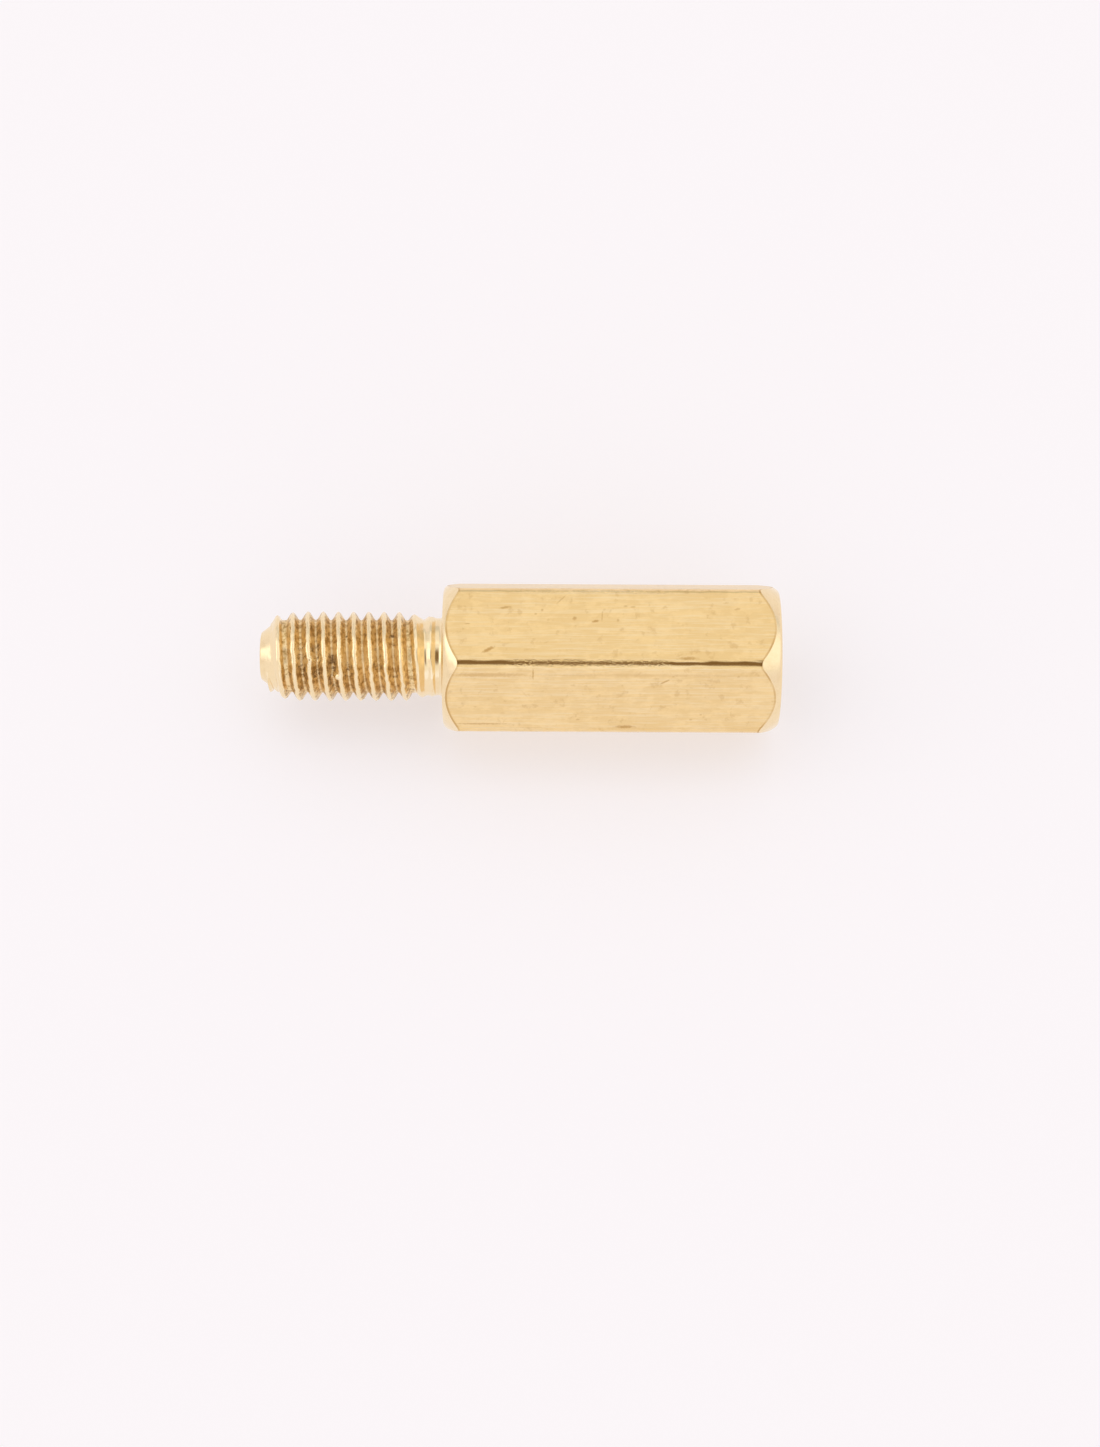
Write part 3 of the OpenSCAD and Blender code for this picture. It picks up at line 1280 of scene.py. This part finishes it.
    def _mark(self) -> bpy.types.NodeTree:
        """One scuff or stain on a flat: an oblong spot with a ragged rim.

        Returns:
            The node group.
        """
        inputs = dict.fromkeys(("X", "Across", "At X", "At Across"), 0.0)
        e = Effect("mark", inputs | {"Length": 0.2, "Width": 0.05, "Turn": 0.0}, ("Mask",))
        s = e.shade
        along = s.minus(e.given["X"], e.given["At X"])
        across = s.minus(e.given["Across"], e.given["At Across"])
        flat = s.point(along, across)
        turned = s.turned(flat, e.given["Turn"], "Z_AXIS", back=True)
        half_length = s.times(e.given["Length"], 0.5)
        half_width = s.times(e.given["Width"], 0.5)
        size = s.point(half_length, half_width, 1.0)
        out = s.length(s.vector("DIVIDE", turned, size).outputs[0])
        ragged = s.swing(s.noise(flat, 14.0, 2.0), 1.3)
        e.put("Mask", s.ramp(s.plus(out, ragged), 0.35, 1.25, (1.0, 0.0)))
        return e.tree


# ------------------------------------------------------------------------------------- finishes


@dataclass(frozen=True)
class Mark:
    """One scuff or stain on a flat: its place, its size, its turn in degrees and its strength."""

    x: float
    across: float
    length: float
    width: float
    turn: float = 0.0
    strength: float = 1.0


# The marks on the flat that lies on top and on the one in front of it, in millimetres
TOP_MARKS = (
    Mark(2.05, 0.66, 0.41, 0.105, 7, 0.8),
    Mark(1.52, -0.85, 0.46, 0.135, 29, 1.0),
    Mark(3.86, 0.96, 0.46, 0.045, 46, 0.6),
    Mark(3.24, 0.57, 0.09, 0.12, 0, 0.6),
    Mark(4.29, 0.28, 0.15, 0.15, 20, 0.8),
    Mark(4.97, 0.18, 0.25, 0.105, 5, 1.0),
    Mark(5.18, 0.36, 0.39, 0.045, 88, 0.6),
    Mark(5.69, 0.21, 0.09, 0.12, 0, 0.6),
    Mark(5.94, 0.72, 0.14, 0.09, 0, 0.5),
    Mark(6.18, 0.70, 0.18, 0.075, 0, 0.5),
    Mark(9.56, 0.64, 0.23, 0.105, 10, 0.5),
    Mark(3.03, 0.43, 0.10, 0.09, 0, 0.5),
    Mark(0.83, 0.07, 0.21, 0.045, 0, 0.7),
    Mark(7.95, -1.13, 0.63, 0.135, 0, 0.8),
)
FRONT_MARKS = (
    Mark(1.50, 0.92, 2.80, 0.17, 0, 0.5),
    Mark(6.50, 0.93, 8.00, 0.13, 0, 0.25),
    Mark(2.96, 0.96, 0.46, 0.053, 90, 0.9),
    Mark(5.95, -1.11, 0.69, 0.135, 0, 1.0),
    Mark(1.32, -1.02, 2.00, 0.06, 0, 0.8),
    Mark(7.21, 0.68, 0.39, 0.075, 30, 0.8),
    Mark(4.41, -0.83, 0.14, 0.075, 0, 0.5),
    Mark(7.47, 0.88, 0.11, 0.075, 0, 0.5),
    Mark(9.57, 0.89, 0.11, 0.09, 0, 0.5),
    Mark(8.08, -0.82, 0.11, 0.075, 0, 0.5),
    Mark(8.40, -0.62, 0.09, 0.075, 0, 0.5),
    Mark(10.44, -1.10, 0.18, 0.135, 0, 0.6),
)


@dataclass(frozen=True)
class Brass:
    """What every finish shares: the alloy's colours, its fine relief, its film and its shader."""

    name: str
    roughness: float
    effects: Effects
    alloy: Colour = (0.90, 0.645, 0.305, 1.0)
    # pale is a painted sheen: a paler, whiter brass that stands for the gleam of turned surfaces
    # and crests
    pale: Colour = (0.925, 0.74, 0.46, 1.0)
    dull: Colour = (0.71, 0.465, 0.18, 1.0)
    scuff: Colour = (0.54, 0.30, 0.085, 1.0)
    # stain also darkens the thread's flanks, partly as stains and partly as painted shade
    stain: Colour = (0.35, 0.185, 0.045, 1.0)
    dirt: Colour = (0.20, 0.095, 0.028, 1.0)
    relief: float = 1.0e-6
    film: float = 0.0
    film_roughness: float = 0.15

    def pattern(self, s: Shade, place: Socket) -> tuple[Socket, Socket, Socket]:
        """Colour, roughness and height of the surface; each finish has its own."""
        raise NotImplementedError

    def material(self) -> bpy.types.Material:
        """A metal whose colour, roughness and normal follow the pattern.

        Returns:
            The material.
        """
        made = bpy.data.materials.new(self.name)
        made.use_nodes = True
        made.node_tree.nodes.clear()
        s = Shade(made.node_tree)
        colour, roughness, height = self.pattern(s, s.place_mm())
        bump = s.add("ShaderNodeBump", {"Height": height, "Distance": self.relief})
        shader = s.add(
            "ShaderNodeBsdfPrincipled",
            {
                "Base Color": colour,
                "Metallic": 1.0,
                "Roughness": roughness,
                "Coat Weight": self.film,
                "Coat Roughness": self.film_roughness,
                "Normal": bump.outputs["Normal"],
            },
        )
        s.add("ShaderNodeOutputMaterial", {"Surface": shader.outputs["BSDF"]})
        return made


@dataclass(frozen=True)
class DrawnBrass(Brass):
    """The flats as drawn: satin, with a soft mottle, streaks along the bar and small marks.

    Most fields say how strongly one thing shows. Hairlines are the turn and the share of each set
    of scratches. A rim is the place of one end of the bar, the radius at which its chamfer starts
    and the chamfer's run along the axis for each of height. Chatter is the unevenness of the long
    edges, the least and what is added between their ends.
    """

    relief: float = 2.0e-6
    film: float = 0.35
    tarnish: float = 0.36
    gleam: float = 0.45
    specks: float = 0.26
    scuffs: float = 0.85
    rim_lines: float = 0.75
    unevenness: float = 0.2
    polish: float = 0.68
    streaks: float = 0.9
    scratches: float = 0.5
    chatter: tuple[float, float] = (0.8, 7.0)
    chatter_from: tuple[float, float] = (1.9, 2.6)
    chatter_to: tuple[float, float] = (7.1, 7.5)
    hairlines: tuple[tuple[float, float], ...] = ((0.25, 0.5), (-0.6, 0.3))
    rims: tuple[tuple[float, float, float], ...] = ((0.0, 2.265, 1.327), (11.0, 2.235, 1.6))

    def marks(self, s: Shade, place: Socket, turn: float, marks: Sequence[Mark]) -> Socket:
        """The marks of one flat, the strongest wherever they meet.

        Args:
            s: the tree that the nodes go to.
            place: the place on the piece in millimetres.
            turn: how far the piece turns about X to bring this flat to the top, in degrees.
            marks: the marks.

        Returns:
            Their mask.
        """
        flat = s.effect(self.effects.flat_place, {"Place": place, "Turn": math.radians(turn)})
        total: object = 0.0
        for mark in marks:
            spot = s.effect(
                self.effects.mark,
                {
                    "X": flat["X"],
                    "Across": flat["Across"],
                    "At X": mark.x,
                    "At Across": mark.across,
                    "Length": mark.length,
                    "Width": mark.width,
                    "Turn": math.radians(mark.turn),
                },
            )[0]
            total = s.most(total, s.times(spot, mark.strength))
        return s.times(total, flat["Mask"])

    def pattern(self, s: Shade, place: Socket) -> tuple[Socket, Socket, Socket]:
        """Soft mottle and streaks on the flats, brighter and smoother on the long edges.

        Args:
            s: the tree that the nodes go to.
            place: the place on the piece in millimetres.

        Returns:
            Colour, roughness and height.
        """
        fx = self.effects
        mottle = s.effect(fx.mottle, {"Place": place, "Cell": 0.12, "Stretch": 2.4})[0]
        streak = s.effect(fx.mottle, {"Place": place, "Cell": 0.035, "Stretch": 30.0})[0]
        scratches = [
            s.effect(fx.scratches, {"Place": place, "Turn": turn, "Share": share})[0]
            for turn, share in self.hairlines
        ]
        scratch = s.most(*scratches)
        top_marks = self.marks(s, place, 0.0, TOP_MARKS)
        marks = s.most(top_marks, self.marks(s, place, -60.0, FRONT_MARKS))
        lines = [
            s.effect(fx.rim_line, {"Place": place, "End": end, "Rim": rim, "Run": run})[0]
            for end, rim, run in self.rims
        ]
        line = s.most(*lines)
        edge = s.attribute("edge")
        cloud = s.effect(fx.mottle, {"Place": place, "Cell": 0.35, "Stretch": 1.6})[0]
        tone = s.plus(s.ramp(mottle, 0.36, 0.64), s.ramp(cloud, 0.42, 0.58))
        speck = s.ramp(s.noise(place, 2.6, 4.0, 0.65), 0.57, 0.67)
        tarnish = s.times(s.minus(1.75, tone, clamp=True), self.tarnish)
        colour = s.mix(tarnish, self.alloy, self.dull)
        # Streaks mixed towards pale: painted sheen along the drawn streaks, which also have their
        # own relief
        colour = s.mix(s.ramp(streak, 0.45, 0.62, (0.0, self.gleam)), colour, self.pale)
        colour = s.mix(s.times(speck, self.specks), colour, self.scuff)
        colour = s.mix(s.times(marks, self.scuffs), colour, self.scuff)
        colour = s.mix(s.times(line, self.rim_lines), colour, self.scuff)
        along = s.axes(place)[0]
        between = s.times(
            s.ramp(along, *self.chatter_from), s.ramp(along, *self.chatter_to, (1.0, 0.0))
        )
        least, added = self.chatter
        chatter = s.times(edge, s.plus(s.times(between, added), least))
        teeth = s.minus(s.noise(place, 13.0, 2.0, 0.6), 0.5)
        rough = s.plus(self.roughness, s.swing(mottle, self.unevenness))
        rough = s.minus(rough, s.times(edge, self.roughness * self.polish))
        height = s.swing(streak, self.streaks)
        height = s.minus(height, s.times(scratch, self.scratches))
        height = s.plus(height, s.times(chatter, teeth))
        return colour, rough, height


@dataclass(frozen=True)
class TurnedBrass(Brass):
    """The lathe's faces, cones and neck: painted pale as a sheen, and smooth, with fine rings.

    Spacing is the rings' distance, and the other fields say how strongly one thing shows.
    """

    spacing: float = 0.03
    tarnish: float = 0.18
    unevenness: float = 0.1
    scratches: float = 0.6

    def pattern(self, s: Shade, place: Socket) -> tuple[Socket, Socket, Socket]:
        """Tool rings, a faint mottle and a few handling scratches.

        Args:
            s: the tree that the nodes go to.
            place: the place on the piece in millimetres.

        Returns:
            Colour, roughness and height.
        """
        fx = self.effects
        rings = s.effect(fx.turned_lines, {"Place": place, "Spacing": self.spacing})[0]
        mottle = s.effect(fx.mottle, {"Place": place, "Cell": 0.25, "Stretch": 1.0})[0]
        scratch = s.effect(fx.scratches, {"Place": place, "Turn": 0.9, "Share": 0.4})[0]
        tone = s.ramp(mottle, 0.35, 0.65)
        # The base colour is pale: painted sheen over the whole turned surface
        colour = s.mix(s.times(s.minus(1.0, tone), self.tarnish), self.pale, self.dull)
        rough = s.plus(self.roughness, s.swing(mottle, self.unevenness))
        height = s.minus(rings, s.times(scratch, self.scratches))
        return colour, rough, height


@dataclass(frozen=True)
class ThreadedBrass(Brass):
    """A thread: painted paler along its crests, stained and painted darker on its flanks, with
    lines along the winding and dirt in its roots.

    Root_x is a root's place at the angle 0, and spacing the distance of the winding's lines.
    Facing is the direction from the axis to the scene's camera. Round it, fewer stains are drawn
    and the flanks are paler, by the share in the field after it. This is a painted highlight that
    stands for no wear, and 0 leaves it out.
    Lines, dents and pits have one height at the crests and the other from the recess of deep
    downwards.
    """

    root_x: float = -5.758
    grime: float = 0.5
    spacing: float = 0.03
    facing: tuple[float, float, float] = (0.0, -0.41, 0.912)
    # Painted highlight: how much cleaner and paler the thread is drawn round the camera's direction
    facing_highlight: float = 0.6
    # How strongly the flanks are darkened, as stains and painted shade
    flank_darkening: float = 1.5
    dirtying: float = 0.8
    unevenness: float = 0.15
    recess_roughness: float = 0.20
    dirt_roughness: float = 0.25
    dirt_height: float = 0.8
    deep: float = 0.3
    lines: tuple[float, float] = (1.0, 5.0)
    dents: tuple[float, float] = (2.0, 16.0)
    pits: tuple[float, float] = (4.0, 38.0)

    def pattern(self, s: Shade, place: Socket) -> tuple[Socket, Socket, Socket]:
        """Lines along the winding, dents, pits, and stains, painted shade and dirt in recesses.

        Args:
            s: the tree that the nodes go to.
            place: the place on the piece in millimetres.

        Returns:
            Colour, roughness and height.
        """
        fx = self.effects
        wound = s.effect(
            fx.wound_lines,
            {"Place": place, "Pitch": PITCH, "Root": self.root_x, "Spacing": self.spacing},
        )[0]
        recess = s.attribute("recess")
        dirt = s.effect(fx.grime, {"Place": place, "Recess": recess, "Amount": self.grime})[0]
        mottle = s.effect(fx.mottle, {"Place": place, "Cell": 0.10, "Stretch": 1.0})[0]
        tone = s.ramp(mottle, 0.38, 0.62)
        flank = s.times(s.ramp(recess, 0.06, 0.22), s.ramp(recess, 0.86, 0.97, (1.0, 0.6)))
        speck = s.noise(place, 6.0, 3.0, 0.7)
        outward = s.vector("NORMALIZE", s.scaled(place, (0.0, 1.0, 1.0))).outputs[0]
        # Painted highlight: a band round the camera's direction, drawn with fewer stains and paler
        # flanks
        facing = s.ramp(s.dot(outward, self.facing), 0.94, 0.99)
        clean_and_highlight = s.plus(s.ramp(speck, 0.39, 0.56), s.times(facing, self.facing_highlight))
        clean_and_highlight = s.plus(s.times(tone, 0.3), clean_and_highlight)
        # Flank darkening in the stain colour: partly stains, partly painted shade in the grooves
        flank_stain_and_shade = s.times(s.minus(1.15, clean_and_highlight, clamp=True), self.flank_darkening * self.grime)
        golden = s.times(flank, s.ramp(clean_and_highlight, 0.8, 1.5, (1.0, 0.4)))
        # Crests in pale and flanks in the alloy: painted sheen along the crests
        colour = s.mix(golden, self.pale, self.alloy)
        colour = s.mix(s.times(flank, flank_stain_and_shade), colour, self.stain)
        colour = s.mix(s.times(dirt, self.dirtying), colour, self.dirt)
        rough = s.plus(self.roughness, s.swing(mottle, self.unevenness))
        rough = s.plus(rough, s.ramp(recess, 0.10, 0.90, (0.0, self.recess_roughness)))
        rough = s.plus(rough, s.times(dirt, self.dirt_roughness))
        height = s.times(wound, s.ramp(recess, 0.0, self.deep, self.lines))
        height = s.plus(height, s.times(dirt, self.dirt_height))
        for noise, heights in ((mottle, self.dents), (speck, self.pits)):
            rise = s.times(s.minus(noise, 0.5), s.ramp(recess, 0.0, self.deep, heights))
            height = s.plus(height, rise)
        return colour, rough, height


# ------------------------------------------------------------------------------------ the piece


@dataclass(frozen=True)
class Standoff:
    """The whole standoff: one turned and threaded length of hexagonal brass bar."""

    stud: Stud = Stud()
    bar: HexBar = HexBar()
    bore: Bore = Bore()
    handling: Handling = Handling()
    edge_degrees: tuple[float, float] = (2.6, 3.6)
    edge_least_r: float = 2.4

    def edge_share(self, points: np.ndarray) -> np.ndarray:
        """1 on the bar's rounded long edges, by the angle from the nearest corner, 0 elsewhere.

        Args:
            points: points in millimetres.

        Returns:
            The share at each point.
        """
        turn = np.degrees(np.arctan2(points[:, 2], points[:, 1]))
        off = np.abs((turn + 30.0) % 60.0 - 30.0)
        radius = np.linalg.norm(points[:, 1:], axis=1)
        return (1.0 - ease(off, *self.edge_degrees)) * (radius > self.edge_least_r)

    def mesh(self) -> bpy.types.Mesh:
        """Builds the closed surface and its point values.

        Returns:
            The mesh, in metres.
        """
        skin = Skin()
        self.stud.build(skin)
        self.bar.build(skin, self.stud.shoulder_ring, self.bore.mouth_ring)
        self.bore.build(skin)
        points, values, faces, finishes = skin.weld()
        values["edge"] = self.edge_share(points)
        bare = ease(self.handling.raised(points), *self.handling.bare_height)
        values["recess"] = values["recess"] * (1.0 - bare)
        points = self.handling.apply(points, values["edge"], self.bar)

        threes = faces[:, 2] == faces[:, 3]
        order = np.concatenate([np.flatnonzero(~threes), np.flatnonzero(threes)])
        faces, finishes = faces[order], finishes[order]
        fours = int((~threes).sum())
        mesh = bpy.data.meshes.new("hex_standoff")
        mesh.from_pydata(
            (points * MM).tolist(), [], faces[:fours].tolist() + faces[fours:, :3].tolist()
        )
        mesh.polygons.foreach_set("material_index", finishes.astype(np.int32))
        mesh.shade_smooth()
        for name, value in values.items():
            stored = mesh.attributes.new(name, "FLOAT", "POINT")
            stored.data.foreach_set("value", value.astype(np.float32))
        mesh.update()
        triangles = 2 * fours + len(faces) - fours
        LOG.info("hex_standoff: %d points, %d triangles", len(points), triangles)
        return mesh

    def finishes(self) -> list[bpy.types.Material]:
        """The materials of the standoff's finishes.

        Returns:
            The materials, in the order of the Finish names.
        """
        fx = Effects()
        made = {
            Finish.DRAWN: DrawnBrass("drawn_brass", 0.42, fx),
            Finish.TURNED: TurnedBrass("turned_brass", 0.17, fx),
            Finish.ROLLED: ThreadedBrass("threaded_brass", 0.22, fx),
            Finish.TAPPED: ThreadedBrass("tapped_brass", 0.26, fx, root_x=0.5, grime=0.35),
            Finish.DRILLED: TurnedBrass("drilled_brass", 0.30, fx, spacing=0.05),
        }
        return [made[kind].material() for kind in Finish]

    def build(self) -> bpy.types.Object:
        """Makes the piece, which stands for the model's one node.

        Returns:
            The piece's object.
        """
        mesh = self.mesh()
        for material in self.finishes():
            mesh.materials.append(material)
        piece = bpy.data.objects.new("hex_standoff", mesh)
        bpy.context.scene.collection.objects.link(piece)
        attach(piece, "root")
        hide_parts("standoff")
        LOG.info("hex_standoff: rides on root")
        return piece


# ------------------------------------------------------------------------------------ the studio


@dataclass(frozen=True)
class SoftBox:
    """A soft lamp far away: its direction, half its width and height, level, rim and tint.

    The width, height and rim are shares of the way to the lamp. Least_towards keeps what lies
    beside or behind the lamp out of it.
    """

    direction: tuple[float, float, float]
    half_width: float
    half_height: float
    level: float
    rim: float = 0.10
    tint: tuple[float, float, float] = (1.0, 1.0, 1.0)
    least_towards: float = 0.01

    @property
    def colour(self) -> Colour:
        """The tint at the lamp's level."""
        return (*(self.level * part for part in self.tint), 1.0)

    def mask(self, s: Shade, way: Socket) -> Socket:
        """Where the lamp shines.

        That is where the direction's shares along the lamp's sides, over its share towards the
        lamp, are both less than half the lamp's width and height.

        Args:
            s: the tree that the nodes go to.
            way: the direction that is looked in.

        Returns:
            The mask, from 0 outside the lamp to 1 inside its rim.
        """
        ahead = Vector(self.direction).normalized()
        side = ahead.cross(Vector((0, 0, 1))).normalized()
        up = side.cross(ahead)
        towards = s.most(s.dot(way, tuple(ahead)), self.least_towards)
        shares = [
            s.calc("ABSOLUTE", s.over(s.dot(way, tuple(axis)), towards)) for axis in (side, up)
        ]
        beside, above = (
            s.ramp(share, half - self.rim, half + self.rim, (1, 0))
            for share, half in zip(shares, (self.half_width, self.half_height))
        )
        return s.times(beside, above)


@dataclass(frozen=True)
class Studio:
    """A plain pale floor under an even dome of light.

    The dome is a little darker towards the back. It has a soft lamp low past each end of the
    standoff, a long one overhead, and a long and slightly blue one low in front. Between the last
    two, round the camera's direction, is a dark brown hood, and the dark line along the near edge
    is its reflection.
    """

    floor_z: float = -0.00235
    floor_radius: float = 1.2
    floor_sides: int = 96
    floor_colour: Colour = (1.0, 0.945, 0.975, 1.0)
    glow_colour: Colour = (1.0, 0.97, 0.985, 1.0)
    horizon_colour: Colour = (0.955, 0.912, 0.939, 1.0)
    floor_glow: float = 0.5
    glossy_glow: float = 0.9
    dome_level: float = 1.03
    back_level: float = 0.72
    back_turn: tuple[float, float] = (0.25, 0.65)
    back_rise: tuple[float, float] = (0.40, 0.68)
    horizon_rise: tuple[float, float] = (0.17, 0.24)
    boxes: tuple[SoftBox, ...] = (
        SoftBox((-0.94, -0.06, 0.33), 0.32, 0.17, 1.72),
        SoftBox((0.91, 0.0, 0.40), 0.30, 0.20, 1.25, 0.12),
        SoftBox((0.0, 0.30, 0.954), 1.20, 0.09, 1.25, 0.06),
        SoftBox((0.0, -0.985, 0.17), 0.95, 0.19, 1.12, 0.08, (1.0, 1.06, 1.25)),
    )
    hood_direction: tuple[float, float, float] = (0.0, -0.42, 0.907)
    hood_angles: tuple[float, float] = (11.0, 29.0)
    hood_colour: Colour = (0.24, 0.16, 0.08, 1.0)

    def floor(self) -> bpy.types.Object:
        """A wide disc, level with the flat that the standoff lies on.

        It is paper to light, and glows as much as the camera and the metal should see it.

        Returns:
            The floor's object.
        """
        turn = np.linspace(0.0, FULL_TURN, self.floor_sides + 1)[:-1]
        x, y = self.floor_radius * np.cos(turn), self.floor_radius * np.sin(turn)
        ring = np.stack([x, y, np.full_like(turn, self.floor_z)], axis=-1)
        mesh = bpy.data.meshes.new("floor")
        mesh.from_pydata(ring.tolist(), [], [list(range(len(ring)))])
        made = bpy.data.materials.new("floor")
        made.use_nodes = True
        made.node_tree.nodes.clear()
        s = Shade(made.node_tree)
        paper = s.add("ShaderNodeBsdfDiffuse", {"Color": self.floor_colour})
        glow = s.add("ShaderNodeEmission", {"Color": self.glow_colour, "Strength": 1.0})
        ray = s.add("ShaderNodeLightPath").outputs
        share = s.most(
            s.times(ray["Is Camera Ray"], self.floor_glow),
            s.times(ray["Is Glossy Ray"], self.glossy_glow),
        )
        both = s.add("ShaderNodeMixShader", {0: share, 1: paper.outputs[0], 2: glow.outputs[0]})
        s.add("ShaderNodeOutputMaterial", {"Surface": both.outputs[0]})
        mesh.materials.append(made)
        piece = bpy.data.objects.new("floor", mesh)
        bpy.context.scene.collection.objects.link(piece)
        return piece

    def light(self) -> bpy.types.World:
        """The world: the dome, the lamps and the hood, and for the camera alone a plain pale wall.

        The metal reflects the dome, the lamps and the hood, not that wall.

        Returns:
            The world.
        """
        world = bpy.data.worlds.new("studio")
        bpy.context.scene.world = world
        world.use_nodes = True
        world.node_tree.nodes.clear()
        s = Shade(world.node_tree)
        way = s.add("ShaderNodeTexCoord").outputs["Generated"]
        axes = s.axes(way)
        backwards = s.ramp(axes[1], *self.back_turn)
        behind = s.times(backwards, s.ramp(axes[2], *self.back_rise, (1, 0)))
        fall = s.times(behind, self.back_level - self.dome_level)
        level = s.plus(self.dome_level, fall)
        white = s.add("ShaderNodeCombineColor", {0: level, 1: level, 2: level}).outputs[0]
        high = s.ramp(axes[2], *self.horizon_rise)
        colour = s.mix(high, self.horizon_colour, white)
        for box in self.boxes:
            colour = s.mix(box.mask(s, way), colour, box.colour)
        hood = [math.cos(math.radians(a)) for a in reversed(self.hood_angles)]
        near = s.ramp(s.dot(way, tuple(Vector(self.hood_direction).normalized())), *hood)
        colour = s.mix(near, colour, self.hood_colour)
        seen = s.add("ShaderNodeLightPath").outputs["Is Camera Ray"]
        colour = s.mix(seen, colour, self.horizon_colour)
        sky = s.add("ShaderNodeBackground", {"Color": colour, "Strength": 1.0})
        s.add("ShaderNodeOutputWorld", {"Surface": sky.outputs[0]})
        return world


@dataclass(frozen=True)
class Camera:
    """The camera high in front: how steeply it looks, from how far, at what, and how it is turned.

    Right and up move it from the axis along its own sides. Lengths are in millimetres, but for the
    clip's, which are in metres.
    """

    elevation: float = math.radians(65.8)
    distance: float = 100.0
    target_x: float = 2.5
    right: float = 1.012
    up: float = -2.181
    roll: float = math.radians(0.29)
    focal_pixels: float = 3034.0
    long_side_pixels: float = 1447.0
    sensor: float = 36.0
    clip: tuple[float, float] = (0.001, 5.0)

    def build(self) -> bpy.types.Object:
        """Makes the camera and gives it to the scene.

        Returns:
            The camera's object.
        """
        e, r = self.elevation, self.roll
        across = Vector((1.0, 0.0, 0.0))
        upward = Vector((0.0, math.sin(e), math.cos(e)))
        back = Vector((0.0, -math.cos(e), math.sin(e)))
        target = Vector((self.target_x, 0.0, 0.0)) + self.right * across + self.up * upward
        turned_across = across * math.cos(r) + upward * math.sin(r)
        turned_up = upward * math.cos(r) - across * math.sin(r)
        data = bpy.data.cameras.new("camera")
        data.sensor_width = self.sensor
        data.lens = self.sensor * self.focal_pixels / self.long_side_pixels
        data.clip_start, data.clip_end = self.clip
        camera = bpy.data.objects.new("camera", data)
        turn = Matrix((turned_across, turned_up, back)).transposed().to_4x4()
        camera.matrix_world = Matrix.Translation((target + self.distance * back) * MM) @ turn
        bpy.context.scene.collection.objects.link(camera)
        bpy.context.scene.camera = camera
        return camera


def main() -> None:
    """Builds the camera, the studio and the standoff in that order."""
    logging.basicConfig(level=logging.INFO, format="%(message)s")
    bpy.context.scene.view_settings.view_transform = "Standard"
    Camera().build()
    studio = Studio()
    studio.light()
    studio.floor()
    LOG.info("studio: floor, light and camera")
    Standoff().build()


if __name__ == "__main__":
    main()
